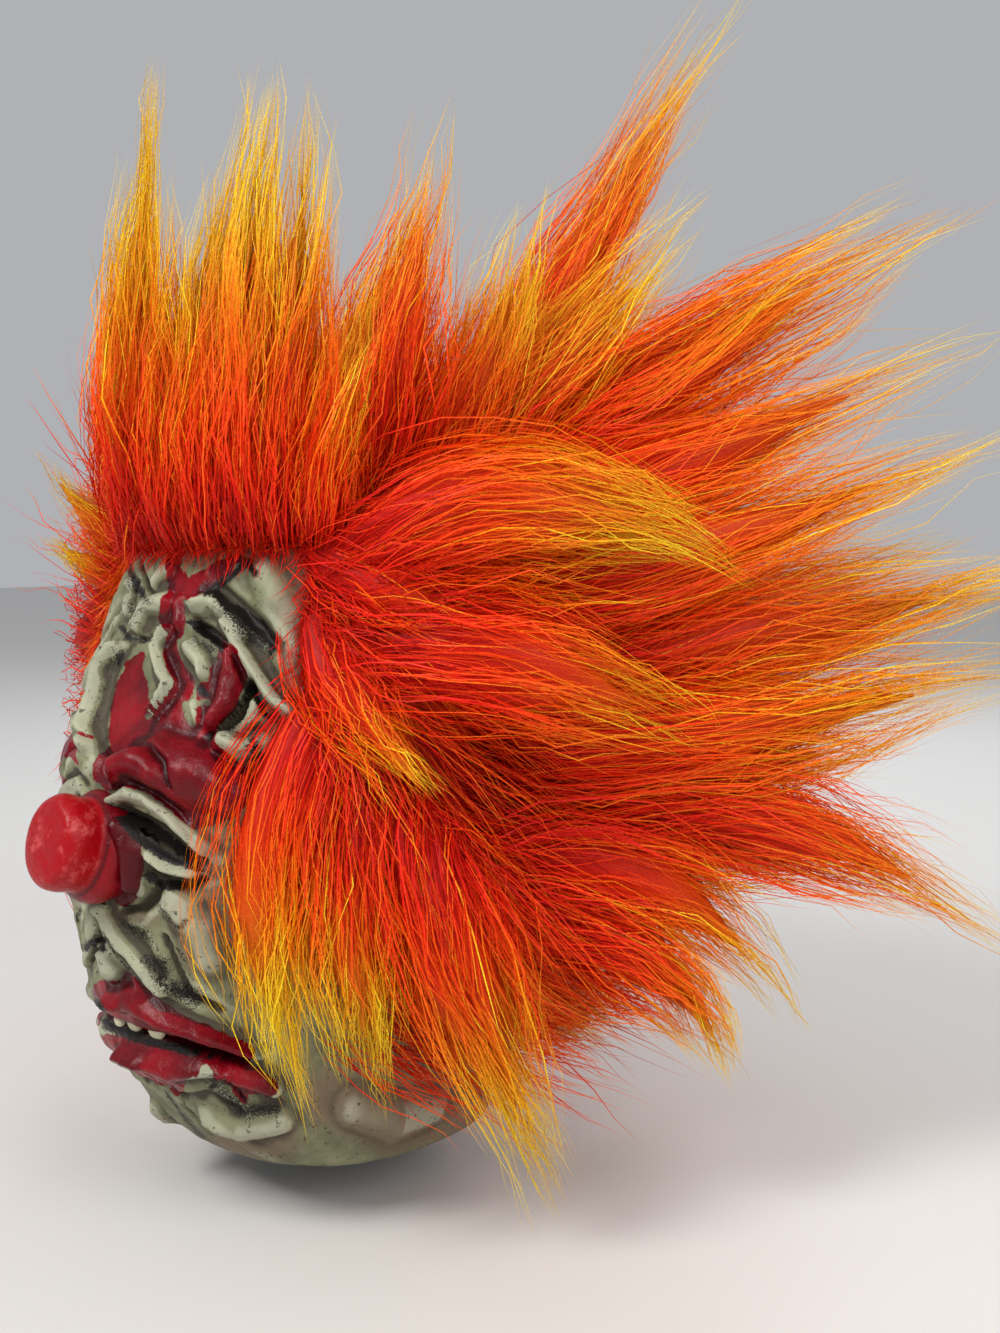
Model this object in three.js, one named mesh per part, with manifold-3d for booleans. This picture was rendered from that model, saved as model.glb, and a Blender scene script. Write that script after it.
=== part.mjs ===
import * as THREE from 'three';
import { mergeVertices } from 'three/addons/utils/BufferGeometryUtils.js';
import Module from 'manifold-3d';

// A clown's mask for the whole head: painted latex with a wig of long fake fur.
// Millimetres, +Z up, the face toward -Y, the mask's own left toward +X.
// The origin is the inner crown, where the mask rests on the wearer's head.

const wasm = await Module();
wasm.setup();

// Driving sizes
const maskHeight = 289; // outer crown to the neck rim
const maskHalfWidth = 88; // middle to the widest side
const maskFront = 116; // head axis to the face at the eyes
const maskBack = 114; // head axis to the back of the head
const latexWall = 2.4;
const sectionRoundness = 2.35; // 2 is an ellipse, more is squarer
const noseDiameter = 37;
const noseReach = 25; // how far the nose stands out from the face
const noseTilt = 14; // degrees, the tip above the root
const noseDown = 0.53; // share of the mask's height, crown to nose root
const toothWidth = 7;
const toothHeight = 8;
const furBacking = 3.5; // thickness of the cloth that carries the fur
const furGap = 0.35; // clearance of a fur panel to the latex and to its neighbours

const rimHeight = latexWall - maskHeight;
const degrees = Math.PI / 180;

// Level sections of the latex, from the crown down.
// down: share of the height; half, front and back: shares of the three reaches above.
const sections = [
  { down: 0.000, half: 0.000, front: 0.000, back: 0.000 },
  { down: 0.022, half: 0.455, front: 0.360, back: 0.440 },
  { down: 0.057, half: 0.660, front: 0.517, back: 0.667 },
  { down: 0.119, half: 0.840, front: 0.625, back: 0.842 },
  { down: 0.216, half: 0.955, front: 0.710, back: 0.965 },
  { down: 0.285, half: 0.990, front: 0.776, back: 0.990 },
  { down: 0.337, half: 1.000, front: 0.836, back: 1.000 },
  { down: 0.389, half: 1.000, front: 0.905, back: 1.000 },
  { down: 0.437, half: 1.000, front: 0.966, back: 0.982 },
  { down: 0.493, half: 0.990, front: 1.000, back: 0.965 },
  { down: 0.562, half: 0.966, front: 0.983, back: 0.939 },
  { down: 0.648, half: 0.920, front: 0.957, back: 0.886 },
  { down: 0.718, half: 0.886, front: 0.935, back: 0.851 },
  { down: 0.801, half: 0.852, front: 0.885, back: 0.798 },
  { down: 0.856, half: 0.840, front: 0.835, back: 0.754 },
  { down: 0.908, half: 0.820, front: 0.725, back: 0.719 },
  { down: 0.960, half: 0.785, front: 0.630, back: 0.684 },
  { down: 1.000, half: 0.740, front: 0.530, back: 0.649 },
];

// Ridges and creases of the face. Each runs from one place to another and bends toward a third.
// side: degrees from the middle of the face; down: share of the height.
// wide and lift: shares of the mask's half width; a negative lift is a crease.
// on: both sides alike, or the mask's own left only.
const folds = [
  { name: 'frown valley', on: 'both', from: [0, 0.15], bend: [1, 0.22], to: [3, 0.37], wide: 0.1, lift: -0.065 },
  { name: 'frown ridge', on: 'both', from: [7, 0.195], bend: [16, 0.2], to: [25, 0.255], wide: 0.11, lift: 0.085 },
  { name: 'inner fold', on: 'both', from: [9, 0.27], bend: [15, 0.28], to: [19, 0.335], wide: 0.1, lift: 0.06 },
  { name: 'brow sweep', on: 'both', from: [25, 0.23], bend: [34, 0.27], to: [37, 0.345], wide: 0.1, lift: 0.08 },
  { name: 'brow hollow', on: 'both', from: [22, 0.28], bend: [27, 0.32], to: [29, 0.365], wide: 0.1, lift: -0.08 },
  { name: 'brow lobe', on: 'both', from: [27, 0.385], bend: [33, 0.4], to: [39, 0.385], wide: 0.13, lift: 0.11 },
  { name: 'brow mass', on: 'both', from: [0, 0.425], bend: [18, 0.405], to: [33, 0.47], wide: 0.165, lift: 0.1 },
  { name: 'eye socket', on: 'both', from: [8, 0.486], bend: [17, 0.49], to: [27, 0.556], wide: 0.115, lift: -0.15 },
  { name: 'lower lid', on: 'both', from: [12, 0.54], bend: [18, 0.568], to: [26, 0.59], wide: 0.09, lift: 0.075 },
  { name: 'cheek', on: 'both', from: [18, 0.615], bend: [25, 0.645], to: [29, 0.71], wide: 0.2, lift: 0.1 },
  { name: 'muzzle', on: 'both', from: [0, 0.62], bend: [3, 0.66], to: [8, 0.715], wide: 0.17, lift: 0.08 },
  { name: 'smile crease', on: 'both', from: [14, 0.6], bend: [17, 0.68], to: [28, 0.742], wide: 0.09, lift: -0.08 },
  { name: 'upper lip', on: 'both', from: [0, 0.746], bend: [14, 0.722], to: [34, 0.8], wide: 0.1, lift: 0.095 },
  { name: 'mouth', on: 'both', from: [0, 0.797], bend: [16, 0.775], to: [31, 0.82], wide: 0.1, lift: -0.18 },
  { name: 'lower lip', on: 'both', from: [0, 0.85], bend: [14, 0.834], to: [35, 0.872], wide: 0.11, lift: 0.095 },
  { name: 'chin groove', on: 'both', from: [0, 0.9], bend: [8, 0.895], to: [22, 0.905], wide: 0.09, lift: -0.07 },
  { name: 'chin', on: 'both', from: [0, 0.945], bend: [8, 0.945], to: [16, 0.945], wide: 0.15, lift: 0.07 },
  { name: 'jowl', on: 'both', from: [36, 0.905], bend: [55, 0.935], to: [78, 0.945], wide: 0.2, lift: 0.05 },
];

// Profile of the nose, along its own line out of the face.
// out: share of its reach; wide: share of its diameter.
const noseProfile = [
  { out: -0.60, wide: 0.45 },
  { out: -0.12, wide: 0.58 },
  { out: 0.16, wide: 0.60 },
  { out: 0.32, wide: 0.54 },
  { out: 0.40, wide: 0.475 },
  { out: 0.49, wide: 0.495 },
  { out: 0.68, wide: 0.505 },
  { out: 0.84, wide: 0.490 },
  { out: 0.95, wide: 0.430 },
  { out: 1.00, wide: 0.330 },
];
const noseHollow = [
  { out: -0.95, wide: 0.36 },
  { out: 0.10, wide: 0.40 },
  { out: 0.76, wide: 0.40 },
  { out: 0.88, wide: 0.30 },
];

// Outline of the opening for the left eye.
const eyeSlit = [
  [9, 0.484], [12, 0.475], [18, 0.484], [23, 0.514], [26, 0.552],
  [22, 0.553], [18, 0.537], [13, 0.512], [9.5, 0.497],
];

// Teeth: degrees from the middle and share of the height down to the middle of each.
const teeth = [
  { side: -11, down: 0.776 },
  { side: -2, down: 0.783 },
  { side: 7, down: 0.776 },
];

// Places of the fur panels on the latex.
const panels = {
  fur_front: { sides: [-47, 47], downs: [0.060, 0.125] },
  fur_top: { sides: [-180, 180], downs: [0, 0.115] },
  fur_left: { sides: [46, 129], downs: [0.100, 0.830] },
  fur_right: { sides: [-129, -46], downs: [0.100, 0.830] },
  fur_back: { sides: [128, 232], downs: [0.100, 0.830] },
};

// Locks of fur. side and down: place of the root on the latex.
// tip: x, y and z of the tip as shares of the mask's height.
// rise: how far the lock first stands out, share of its length.
// wide and thick: shares of the mask's height.
// bow: where given, how far x, y and z pull the lock's middle aside, as shares of the height.
const frontLocks = [
  { side: -38, down: 0.105, tip: [-0.15, -0.21, 0.36], rise: 0.14, wide: 0.13, thick: 0.09,
    bow: [0.06, -0.02, 0.05] },
  { side: -24, down: 0.112, tip: [-0.06, -0.31, 0.23], rise: 0.18, wide: 0.13, thick: 0.09,
    bow: [0.08, -0.02, 0.06] },
  { side: -10, down: 0.108, tip: [0.03, -0.30, 0.50], rise: 0.14, wide: 0.17, thick: 0.11 },
  { side: 8, down: 0.112, tip: [0.10, -0.26, 0.36], rise: 0.14, wide: 0.16, thick: 0.11 },
  { side: 22, down: 0.108, tip: [0.15, -0.22, 0.48], rise: 0.14, wide: 0.16, thick: 0.11 },
  { side: 36, down: 0.108, tip: [0.19, -0.17, 0.48], rise: 0.14, wide: 0.15, thick: 0.11 },
  { side: 46, down: 0.112, tip: [0.26, -0.12, 0.27], rise: 0.18, wide: 0.13, thick: 0.09 },
];
const topLocks = [
  { side: 62, down: 0.06, tip: [0.27, 0.00, 0.46], rise: 0.28, wide: 0.14, thick: 0.11 },
  { side: 92, down: 0.07, tip: [0.33, 0.12, 0.38], rise: 0.28, wide: 0.13, thick: 0.10 },
  { side: 140, down: 0.045, tip: [0.44, 0.41, 0.68], rise: 0.22, wide: 0.18, thick: 0.13 },
  { side: 108, down: 0.06, tip: [0.47, 0.34, 0.37], rise: 0.22, wide: 0.15, thick: 0.11 },
  { side: 124, down: 0.085, tip: [0.69, 0.64, 0.38], rise: 0.22, wide: 0.20, thick: 0.13 },
  { side: 172, down: 0.06, tip: [0.20, 0.46, 0.43], rise: 0.25, wide: 0.18, thick: 0.13 },
  { side: 222, down: 0.055, tip: [-0.30, 0.52, 0.52], rise: 0.22, wide: 0.17, thick: 0.13 },
  { side: 240, down: 0.085, tip: [-0.62, 0.62, 0.30], rise: 0.22, wide: 0.18, thick: 0.13 },
  { side: 278, down: 0.065, tip: [-0.37, 0.12, 0.30], rise: 0.28, wide: 0.16, thick: 0.11 },
];
const sideLocks = [
  { side: 104, down: 0.14, tip: [0.73, 0.68, 0.19], rise: 0.25, wide: 0.16, thick: 0.12 },
  { side: 98, down: 0.23, tip: [0.79, 0.64, 0.05], rise: 0.25, wide: 0.18, thick: 0.13 },
  { side: 110, down: 0.32, tip: [0.84, 0.76, -0.14], rise: 0.25, wide: 0.20, thick: 0.13 },
  { side: 100, down: 0.41, tip: [0.86, 0.71, -0.29], rise: 0.25, wide: 0.19, thick: 0.13 },
  { side: 108, down: 0.47, tip: [0.67, 0.57, -0.42], rise: 0.25, wide: 0.16, thick: 0.11,
    bow: [0.06, 0.12, 0.04] },
  { side: 98, down: 0.53, tip: [0.82, 0.65, -0.72], rise: 0.25, wide: 0.18, thick: 0.12,
    bow: [0.08, 0.17, 0.18] },
  { side: 90, down: 0.58, tip: [0.62, 0.37, -0.80], rise: 0.25, wide: 0.17, thick: 0.11,
    bow: [0.10, 0.12, 0.12] },
  { side: 72, down: 0.47, tip: [0.45, 0.05, -1.04], rise: 0.18, wide: 0.17, thick: 0.11,
    bow: [0.05, -0.15, -0.10] },
  { side: 106, down: 0.76, tip: [0.38, 0.27, -0.86], rise: 0.30, wide: 0.13, thick: 0.08 },
  { side: 56, down: 0.16, tip: [0.61, 0.23, -0.15], rise: 0.20, wide: 0.19, thick: 0.11,
    bow: [0.18, 0.09, 0.14] },
  { side: 58, down: 0.27, tip: [0.59, 0.17, -0.37], rise: 0.20, wide: 0.19, thick: 0.11,
    bow: [0.15, 0.06, 0.02] },
];
const leftOnlyLocks = [
  { side: 84, down: 0.64, tip: [0.59, 0.25, -0.89], rise: 0.25, wide: 0.12, thick: 0.08,
    bow: [0.18, 0.19, 0.04] },
  { side: 52, down: 0.33, tip: [0.33, -0.24, -0.85], rise: 0.20, wide: 0.155, thick: 0.09,
    bow: [-0.05, -0.09, -0.22] },
  { side: 58, down: 0.42, tip: [0.36, -0.16, -0.85], rise: 0.20, wide: 0.16, thick: 0.09,
    bow: [0.02, -0.03, -0.18] },
  { side: 50, down: 0.13, tip: [0.48, -0.08, -0.25], rise: 0.20, wide: 0.13, thick: 0.07,
    bow: [0.07, 0.03, -0.07] },
  { side: 50, down: 0.225, tip: [0.42, -0.16, -0.44], rise: 0.20, wide: 0.13, thick: 0.07,
    bow: [0.01, -0.01, -0.10] },
];
const rightOnlyLocks = [
  { side: -56, down: 0.14, tip: [-0.34, -0.28, 0.02], rise: 0.35, wide: 0.08, thick: 0.06 },
  { side: -58, down: 0.20, tip: [-0.34, -0.26, -0.10], rise: 0.35, wide: 0.08, thick: 0.06 },
  { side: -56, down: 0.45, tip: [-0.42, 0.08, -0.76], rise: 0.25, wide: 0.13, thick: 0.08 },
];
// The back of the wig: rows of locks, evenly spread about the middle.
const backRows = [
  { down: 0.160, sides: [-22, 22], reach: 1.00, height: 0.10, wide: 0.180 },
  { down: 0.290, sides: [-38, 0, 38], reach: 1.06, height: -0.12, wide: 0.190 },
  { down: 0.430, sides: [-22, 22], reach: 1.04, height: -0.36, wide: 0.190 },
  { down: 0.560, sides: [-38, 0, 38], reach: 0.94, height: -0.64, wide: 0.180 },
  { down: 0.700, sides: [-20, 20], reach: 0.72, height: -0.92, wide: 0.170 },
];

// A closed solid from points and triangles, turned right side out.
function solid(points, faces) {
  let volume = 0;
  for (const [a, b, c] of faces) {
    volume += points[a].dot(points[b].clone().cross(points[c]));
  }
  const triVerts = new Uint32Array(faces.length * 3);
  faces.forEach(([a, b, c], i) => {
    triVerts.set(volume > 0 ? [a, b, c] : [a, c, b], i * 3);
  });
  const vertProperties = new Float32Array(points.length * 3);
  points.forEach((point, i) => vertProperties.set([point.x, point.y, point.z], i * 3));
  return new wasm.Manifold(new wasm.Mesh({ numProp: 3, vertProperties, triVerts }));
}

// The three reaches of the latex at one height.
function sectionAt(down) {
  let row = 1;
  while (row < sections.length - 1 && sections[row].down < down) {
    row += 1;
  }
  const above = sections[row - 1];
  const below = sections[row];
  const share = (down - above.down) / (below.down - above.down);
  return {
    half: maskHalfWidth * THREE.MathUtils.lerp(above.half, below.half, share),
    front: maskFront * THREE.MathUtils.lerp(above.front, below.front, share),
    back: maskBack * THREE.MathUtils.lerp(above.back, below.back, share),
  };
}

// A point of the smooth head form, without folds.
function formPoint(side, down) {
  const { half, front, back } = sectionAt(Math.max(down, 0.002));
  const across = Math.sin(side * degrees);
  const ahead = Math.cos(side * degrees);
  const reach = ahead > 0 ? front : back;
  const sum = Math.abs(across / half) ** sectionRoundness + Math.abs(ahead / reach) ** sectionRoundness;
  const radius = sum ** (-1 / sectionRoundness);
  return new THREE.Vector3(radius * across, -radius * ahead, latexWall - maskHeight * down);
}

function formNormal(side, down) {
  const across = formPoint(side + 1, down).sub(formPoint(side - 1, down));
  const along = formPoint(side, Math.min(down + 0.01, 1)).sub(formPoint(side, Math.max(down - 0.01, 0.002)));
  return along.cross(across).normalize();
}

// The quickest way from a place on the face to one fold, in mm along the latex.
function distanceToFold(side, down, fold) {
  const place = new THREE.Vector2(side * degrees * maskFront, down * maskHeight);
  let nearest = Infinity;
  const steps = 12;
  for (let i = 0; i <= steps; i += 1) {
    const t = i / steps;
    const foldSide = (1 - t) ** 2 * fold.from[0] + 2 * t * (1 - t) * fold.bend[0] + t ** 2 * fold.to[0];
    const foldDown = (1 - t) ** 2 * fold.from[1] + 2 * t * (1 - t) * fold.bend[1] + t ** 2 * fold.to[1];
    const spot = new THREE.Vector2(foldSide * degrees * maskFront, foldDown * maskHeight);
    nearest = Math.min(nearest, place.distanceTo(spot));
  }
  return nearest;
}

// Height of the folds over the smooth form.
function foldLift(side, down) {
  let lift = 0;
  for (const fold of folds) {
    const foldSide = fold.on === 'both' ? Math.abs(side) : side;
    const near = distanceToFold(foldSide, down, fold) / (fold.wide * maskHalfWidth);
    if (near < 1) {
      lift += fold.lift * maskHalfWidth * (1 - near ** 2) ** 2;
    }
  }
  return lift;
}

function skinPoint(side, down, offset) {
  const point = formPoint(side, down);
  const normal = formNormal(side, down);
  if (down >= 1) {
    normal.z = 0;
    normal.normalize();
  }
  return point.addScaledVector(normal, offset);
}

// Outer face of the latex.
function outerPoint(side, down, offset) {
  const turned = side > 180 ? side - 360 : side;
  const edge = down >= 1 ? 0 : 1;
  return skinPoint(side, down, offset + edge * foldLift(turned, down));
}

// Steps round a place, in degrees and share of the height, where the inner face looks for folds.
const foldSteps = [
  [-4, 0], [4, 0], [0, -0.02], [0, 0.02],
  [-3, -0.015], [3, 0.015], [3, -0.015], [-3, 0.015],
];

// Inner face: as deep as the lowest fold near it, so that the wall keeps its thickness.
function innerPoint(side, down) {
  const turned = side > 180 ? side - 360 : side;
  let lowest = 0;
  if (down < 1 && Math.abs(turned) < 70) {
    lowest = foldLift(turned, down);
    for (const [stepSide, stepDown] of foldSteps) {
      lowest = Math.min(lowest, foldLift(turned + stepSide, down + stepDown));
    }
  }
  return skinPoint(side, down, lowest - latexWall);
}

// Evenly spaced numbers from first to last.
function spaced(first, last, count) {
  return Array.from({ length: count }, (_, i) => first + (last - first) * i / (count - 1));
}

const faceEdge = 66; // degrees from the middle to where the fine grid of the face ends
const crownRows = [0.012, 0.035, 0.07];
const seatEase = 1.6; // the seat of the fur stands this much further out where its facets are long
const seatRows = [0.119, 0.216, 0.337, 0.45, 0.56, 0.68, 0.8, 0.9, 1];

// A closed head form. Columns run down from the crown, close together on the face.
function headSolid({ faceColumns, backColumns, faceRows, backRowsDown, point, crown, below }) {
  const columns = [];
  for (const side of spaced(-faceEdge, faceEdge, faceColumns)) {
    columns.push({ side, rows: [...crownRows, ...faceRows] });
  }
  for (const side of spaced(faceEdge, 360 - faceEdge, backColumns + 2).slice(1, -1)) {
    columns.push({ side, rows: [...crownRows, ...backRowsDown] });
  }
  const points = [new THREE.Vector3(0, 0, crown)];
  const faces = [];
  for (const column of columns) {
    column.first = points.length;
    column.rows.forEach((down) => points.push(point(column.side, down)));
    if (below > 0) {
      const foot = points[points.length - 1].clone();
      foot.z -= below;
      points.push(foot);
      column.rows.push(2);
    }
  }
  const floor = points.length;
  points.push(new THREE.Vector3(0, 0, rimHeight - below));
  columns.forEach((column, i) => {
    const next = columns[(i + 1) % columns.length];
    faces.push([0, column.first, next.first]);
    let here = 0;
    let there = 0;
    while (here < column.rows.length - 1 || there < next.rows.length - 1) {
      const hereDown = column.rows[here + 1] ?? Infinity;
      const thereDown = next.rows[there + 1] ?? Infinity;
      let takeHere = hereDown < thereDown;
      if (hereDown === thereDown) {
        const fall = points[column.first + here + 1].distanceTo(points[next.first + there]);
        const climb = points[column.first + here].distanceTo(points[next.first + there + 1]);
        takeHere = fall <= climb;
      }
      if (takeHere) {
        faces.push([column.first + here, column.first + here + 1, next.first + there]);
        here += 1;
      } else {
        faces.push([column.first + here, next.first + there + 1, next.first + there]);
        there += 1;
      }
    }
    faces.push([column.first + here, floor, next.first + there]);
  });
  return solid(points, faces);
}

function outerHead(offset, below) {
  return headSolid({
    faceColumns: 37,
    backColumns: 15,
    faceRows: [...spaced(0.119, 0.98, 42), 1],
    backRowsDown: seatRows,
    point: (side, down) => outerPoint(side, down, offset),
    crown: latexWall + offset,
    below,
  });
}

// A plain form just clear of the latex, with long facets, on which the cloth of the fur lies.
function furSeat() {
  return headSolid({
    faceColumns: 11,
    backColumns: 15,
    faceRows: seatRows,
    backRowsDown: seatRows,
    point: (side, down) => skinPoint(side, down, Math.abs(side) < 70 ? furGap + seatEase : furGap),
    crown: latexWall + furGap,
    below: 0,
  });
}

function innerHead() {
  return headSolid({
    faceColumns: 15,
    backColumns: 9,
    faceRows: [...spaced(0.119, 0.96, 16), 1],
    backRowsDown: seatRows,
    point: innerPoint,
    crown: 0,
    below: 8,
  });
}

// A turned solid about the nose's own line.
function noseSolid(profile) {
  const around = 16;
  const root = formPoint(0, noseDown);
  const axis = new THREE.Vector3(0, -Math.cos(noseTilt * degrees), Math.sin(noseTilt * degrees));
  const up = new THREE.Vector3(0, Math.sin(noseTilt * degrees), Math.cos(noseTilt * degrees));
  const points = [];
  const faces = [];
  for (const { out, wide } of profile) {
    for (let i = 0; i < around; i += 1) {
      const turn = i / around * 2 * Math.PI;
      const point = root.clone().addScaledVector(axis, out * noseReach);
      point.addScaledVector(up, wide * noseDiameter * Math.cos(turn));
      point.x += wide * noseDiameter * Math.sin(turn);
      points.push(point);
    }
  }
  for (let ring = 0; ring < profile.length - 1; ring += 1) {
    for (let i = 0; i < around; i += 1) {
      const a = ring * around + i;
      const b = ring * around + (i + 1) % around;
      faces.push([a, b, b + around], [a, b + around, a + around]);
    }
  }
  for (const [ring, flip] of [[0, true], [profile.length - 1, false]]) {
    const middle = points.length;
    points.push(root.clone().addScaledVector(axis, profile[ring].out * noseReach));
    for (let i = 0; i < around; i += 1) {
      const a = ring * around + i;
      const b = ring * around + (i + 1) % around;
      faces.push(flip ? [b, a, middle] : [a, b, middle]);
    }
  }
  return solid(points, faces);
}

// A plug through the latex with a given outline on the face.
function facePlug(outline, mirrored, inside, outside) {
  const points = [];
  for (const offset of [inside, outside]) {
    for (const [side, down] of outline) {
      points.push(skinPoint(mirrored ? -side : side, down, offset));
    }
  }
  const count = outline.length;
  const faces = [];
  for (let i = 0; i < count; i += 1) {
    const next = (i + 1) % count;
    faces.push([i, next, next + count], [i, next + count, i + count]);
  }
  for (let i = 1; i < count - 1; i += 1) {
    faces.push([0, i + 1, i], [count, count + i, count + i + 1]);
  }
  return solid(points, faces);
}

// One tooth: a block with a narrower lower edge, standing in the groove of the mouth.
function toothSolid({ side, down }) {
  const halfAngle = toothWidth / 2 / maskFront / degrees;
  const halfDown = toothHeight / 2 / maskHeight;
  const outline = [
    [side - halfAngle, down - halfDown],
    [side + halfAngle, down - halfDown],
    [side + halfAngle, down + 0.3 * halfDown],
    [side + 0.6 * halfAngle, down + halfDown],
    [side - 0.6 * halfAngle, down + halfDown],
    [side - halfAngle, down + 0.3 * halfDown],
  ];
  return facePlug(outline, false, -0.12 * maskHalfWidth, -0.04 * maskHalfWidth);
}

function maskSkin() {
  let outer = outerHead(0, 0).add(noseSolid(noseProfile));
  let inner = innerHead().add(noseSolid(noseHollow));
  let skin = outer.subtract(inner);
  for (const mirrored of [false, true]) {
    skin = skin.subtract(facePlug(eyeSlit, mirrored, -24, 24));
  }
  for (const tooth of teeth) {
    skin = skin.add(toothSolid(tooth));
  }
  return skin;
}

// One lock: a tapered, bent tongue of fur with a flat oval section.
const lockRings = [
  { along: 0.00, size: 0.80 },
  { along: 0.28, size: 1.00 },
  { along: 0.62, size: 0.92 },
  { along: 0.87, size: 0.58 },
];

function lockSolid(lock, grow) {
  const around = 5;
  const root = skinPoint(lock.side, lock.down, furBacking * 0.5);
  const tip = new THREE.Vector3(...lock.tip).multiplyScalar(maskHeight);
  const length = root.distanceTo(tip);
  const normal = formNormal(lock.side, lock.down);
  const bow = new THREE.Vector3(...(lock.bow ?? [0, 0, 0])).multiplyScalar(maskHeight);
  const bend = root.clone().addScaledVector(normal, lock.rise * length).add(bow);
  const curve = new THREE.QuadraticBezierCurve3(root, bend, tip);
  const points = [];
  const faces = [];
  for (const { along, size } of lockRings) {
    const centre = curve.getPoint(along);
    const tangent = curve.getTangent(along);
    const across = tangent.clone().cross(normal).normalize();
    const through = across.clone().cross(tangent).normalize();
    for (let i = 0; i < around; i += 1) {
      const turn = i / around * 2 * Math.PI;
      const point = centre.clone();
      point.addScaledVector(across, (lock.wide / 2 * maskHeight * size + grow) * Math.cos(turn));
      point.addScaledVector(through, (lock.thick / 2 * maskHeight * size + grow) * Math.sin(turn));
      points.push(point);
    }
  }
  const rings = lockRings.length;
  for (let ring = 0; ring < rings - 1; ring += 1) {
    for (let i = 0; i < around; i += 1) {
      const a = ring * around + i;
      const b = ring * around + (i + 1) % around;
      faces.push([a, b, b + around], [a, b + around, a + around]);
    }
  }
  const start = points.length;
  points.push(root);
  const end = points.length;
  points.push(tip.clone().addScaledVector(curve.getTangent(1), grow));
  for (let i = 0; i < around; i += 1) {
    const next = (i + 1) % around;
    const last = (rings - 1) * around;
    faces.push([next, i, start], [last + i, last + next, end]);
  }
  return solid(points, faces);
}

// The cloth of one panel. It reaches into the latex; that part is cut away afterwards.
function backingSolid({ sides, downs }, grow) {
  const sideGrow = grow / maskHalfWidth / degrees;
  const downGrow = grow / maskHeight;
  const whole = sides[1] - sides[0] >= 360;
  const columns = Math.ceil((sides[1] - sides[0]) / 14) + 1;
  const rows = Math.max(3, Math.ceil((downs[1] - downs[0]) / 0.1) + 1);
  if (whole) {
    return crownCloth(downs[1] + downGrow, grow);
  }
  const points = [];
  const faces = [];
  for (const offset of [-4, furBacking + grow]) {
    for (const side of spaced(sides[0] - sideGrow, sides[1] + sideGrow, columns)) {
      for (const down of spaced(downs[0] - downGrow, downs[1] + downGrow, rows)) {
        points.push(skinPoint(side, down, offset));
      }
    }
  }
  const layer = columns * rows;
  const at = (column, row) => column * rows + row;
  for (let column = 0; column < columns - 1; column += 1) {
    for (let row = 0; row < rows - 1; row += 1) {
      const a = at(column, row);
      const b = at(column + 1, row);
      const c = at(column + 1, row + 1);
      const d = at(column, row + 1);
      faces.push([a, b, c], [a, c, d]);
      faces.push([a + layer, c + layer, b + layer], [a + layer, d + layer, c + layer]);
    }
  }
  const edge = [];
  for (let row = 0; row < rows - 1; row += 1) {
    edge.push(at(0, row));
  }
  for (let column = 0; column < columns - 1; column += 1) {
    edge.push(at(column, rows - 1));
  }
  for (let row = rows - 1; row > 0; row -= 1) {
    edge.push(at(columns - 1, row));
  }
  for (let column = columns - 1; column > 0; column -= 1) {
    edge.push(at(column, 0));
  }
  edge.forEach((a, i) => {
    const b = edge[(i + 1) % edge.length];
    faces.push([a, b, b + layer], [a, b + layer, a + layer]);
  });
  return solid(points, faces);
}

// The round cloth of the crown.
function crownCloth(lowest, grow) {
  const around = 26;
  const downs = [0.025, 0.06, lowest];
  const points = [];
  const faces = [];
  for (const offset of [-4, furBacking + grow]) {
    points.push(new THREE.Vector3(0, 0, latexWall + offset));
    for (const down of downs) {
      for (let i = 0; i < around; i += 1) {
        points.push(skinPoint(i / around * 360, down, offset));
      }
    }
  }
  const layer = 1 + downs.length * around;
  for (let i = 0; i < around; i += 1) {
    const next = (i + 1) % around;
    faces.push([0, 1 + next, 1 + i], [layer, layer + 1 + i, layer + 1 + next]);
    for (let ring = 0; ring < downs.length - 1; ring += 1) {
      const a = 1 + ring * around + i;
      const b = 1 + ring * around + next;
      faces.push([a, b, b + around], [a, b + around, a + around]);
      faces.push([a + layer, b + around + layer, b + layer]);
      faces.push([a + layer, a + around + layer, b + around + layer]);
    }
    const a = 1 + (downs.length - 1) * around + i;
    const b = 1 + (downs.length - 1) * around + next;
    faces.push([a, b, b + layer], [a, b + layer, a + layer]);
  }
  return solid(points, faces);
}

function mirroredLock(lock) {
  const [x, y, z] = lock.tip;
  const [bowX, bowY, bowZ] = lock.bow ?? [0, 0, 0];
  return { ...lock, side: -lock.side, tip: [-x, y, z], bow: [-bowX, bowY, bowZ] };
}

// Locks of the back, in rows of two or three.
function backLocks() {
  const locks = [];
  for (const { down, sides, reach, height, wide } of backRows) {
    for (const turn of sides) {
      const heading = (180 + turn * 0.9) * degrees;
      const tip = [reach * Math.sin(heading), -reach * Math.cos(heading), height];
      locks.push({ side: 180 + turn, down, tip, rise: 0.25, wide, thick: 0.12 });
    }
  }
  return locks;
}

const locksOf = {
  fur_front: frontLocks,
  fur_top: topLocks,
  fur_left: [...sideLocks, ...leftOnlyLocks],
  fur_right: [...sideLocks.map(mirroredLock), ...rightOnlyLocks],
  fur_back: backLocks(),
};

// A panel with all its locks, before it is cut clear of what it touches.
function wholePanel(name, grow) {
  let panel = backingSolid(panels[name], grow);
  for (const lock of locksOf[name]) {
    panel = panel.add(lockSolid(lock, grow));
  }
  return panel;
}

function largestBody(shape) {
  return shape.decompose().reduce((best, body) => (body.volume() > best.volume() ? body : best));
}

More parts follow.
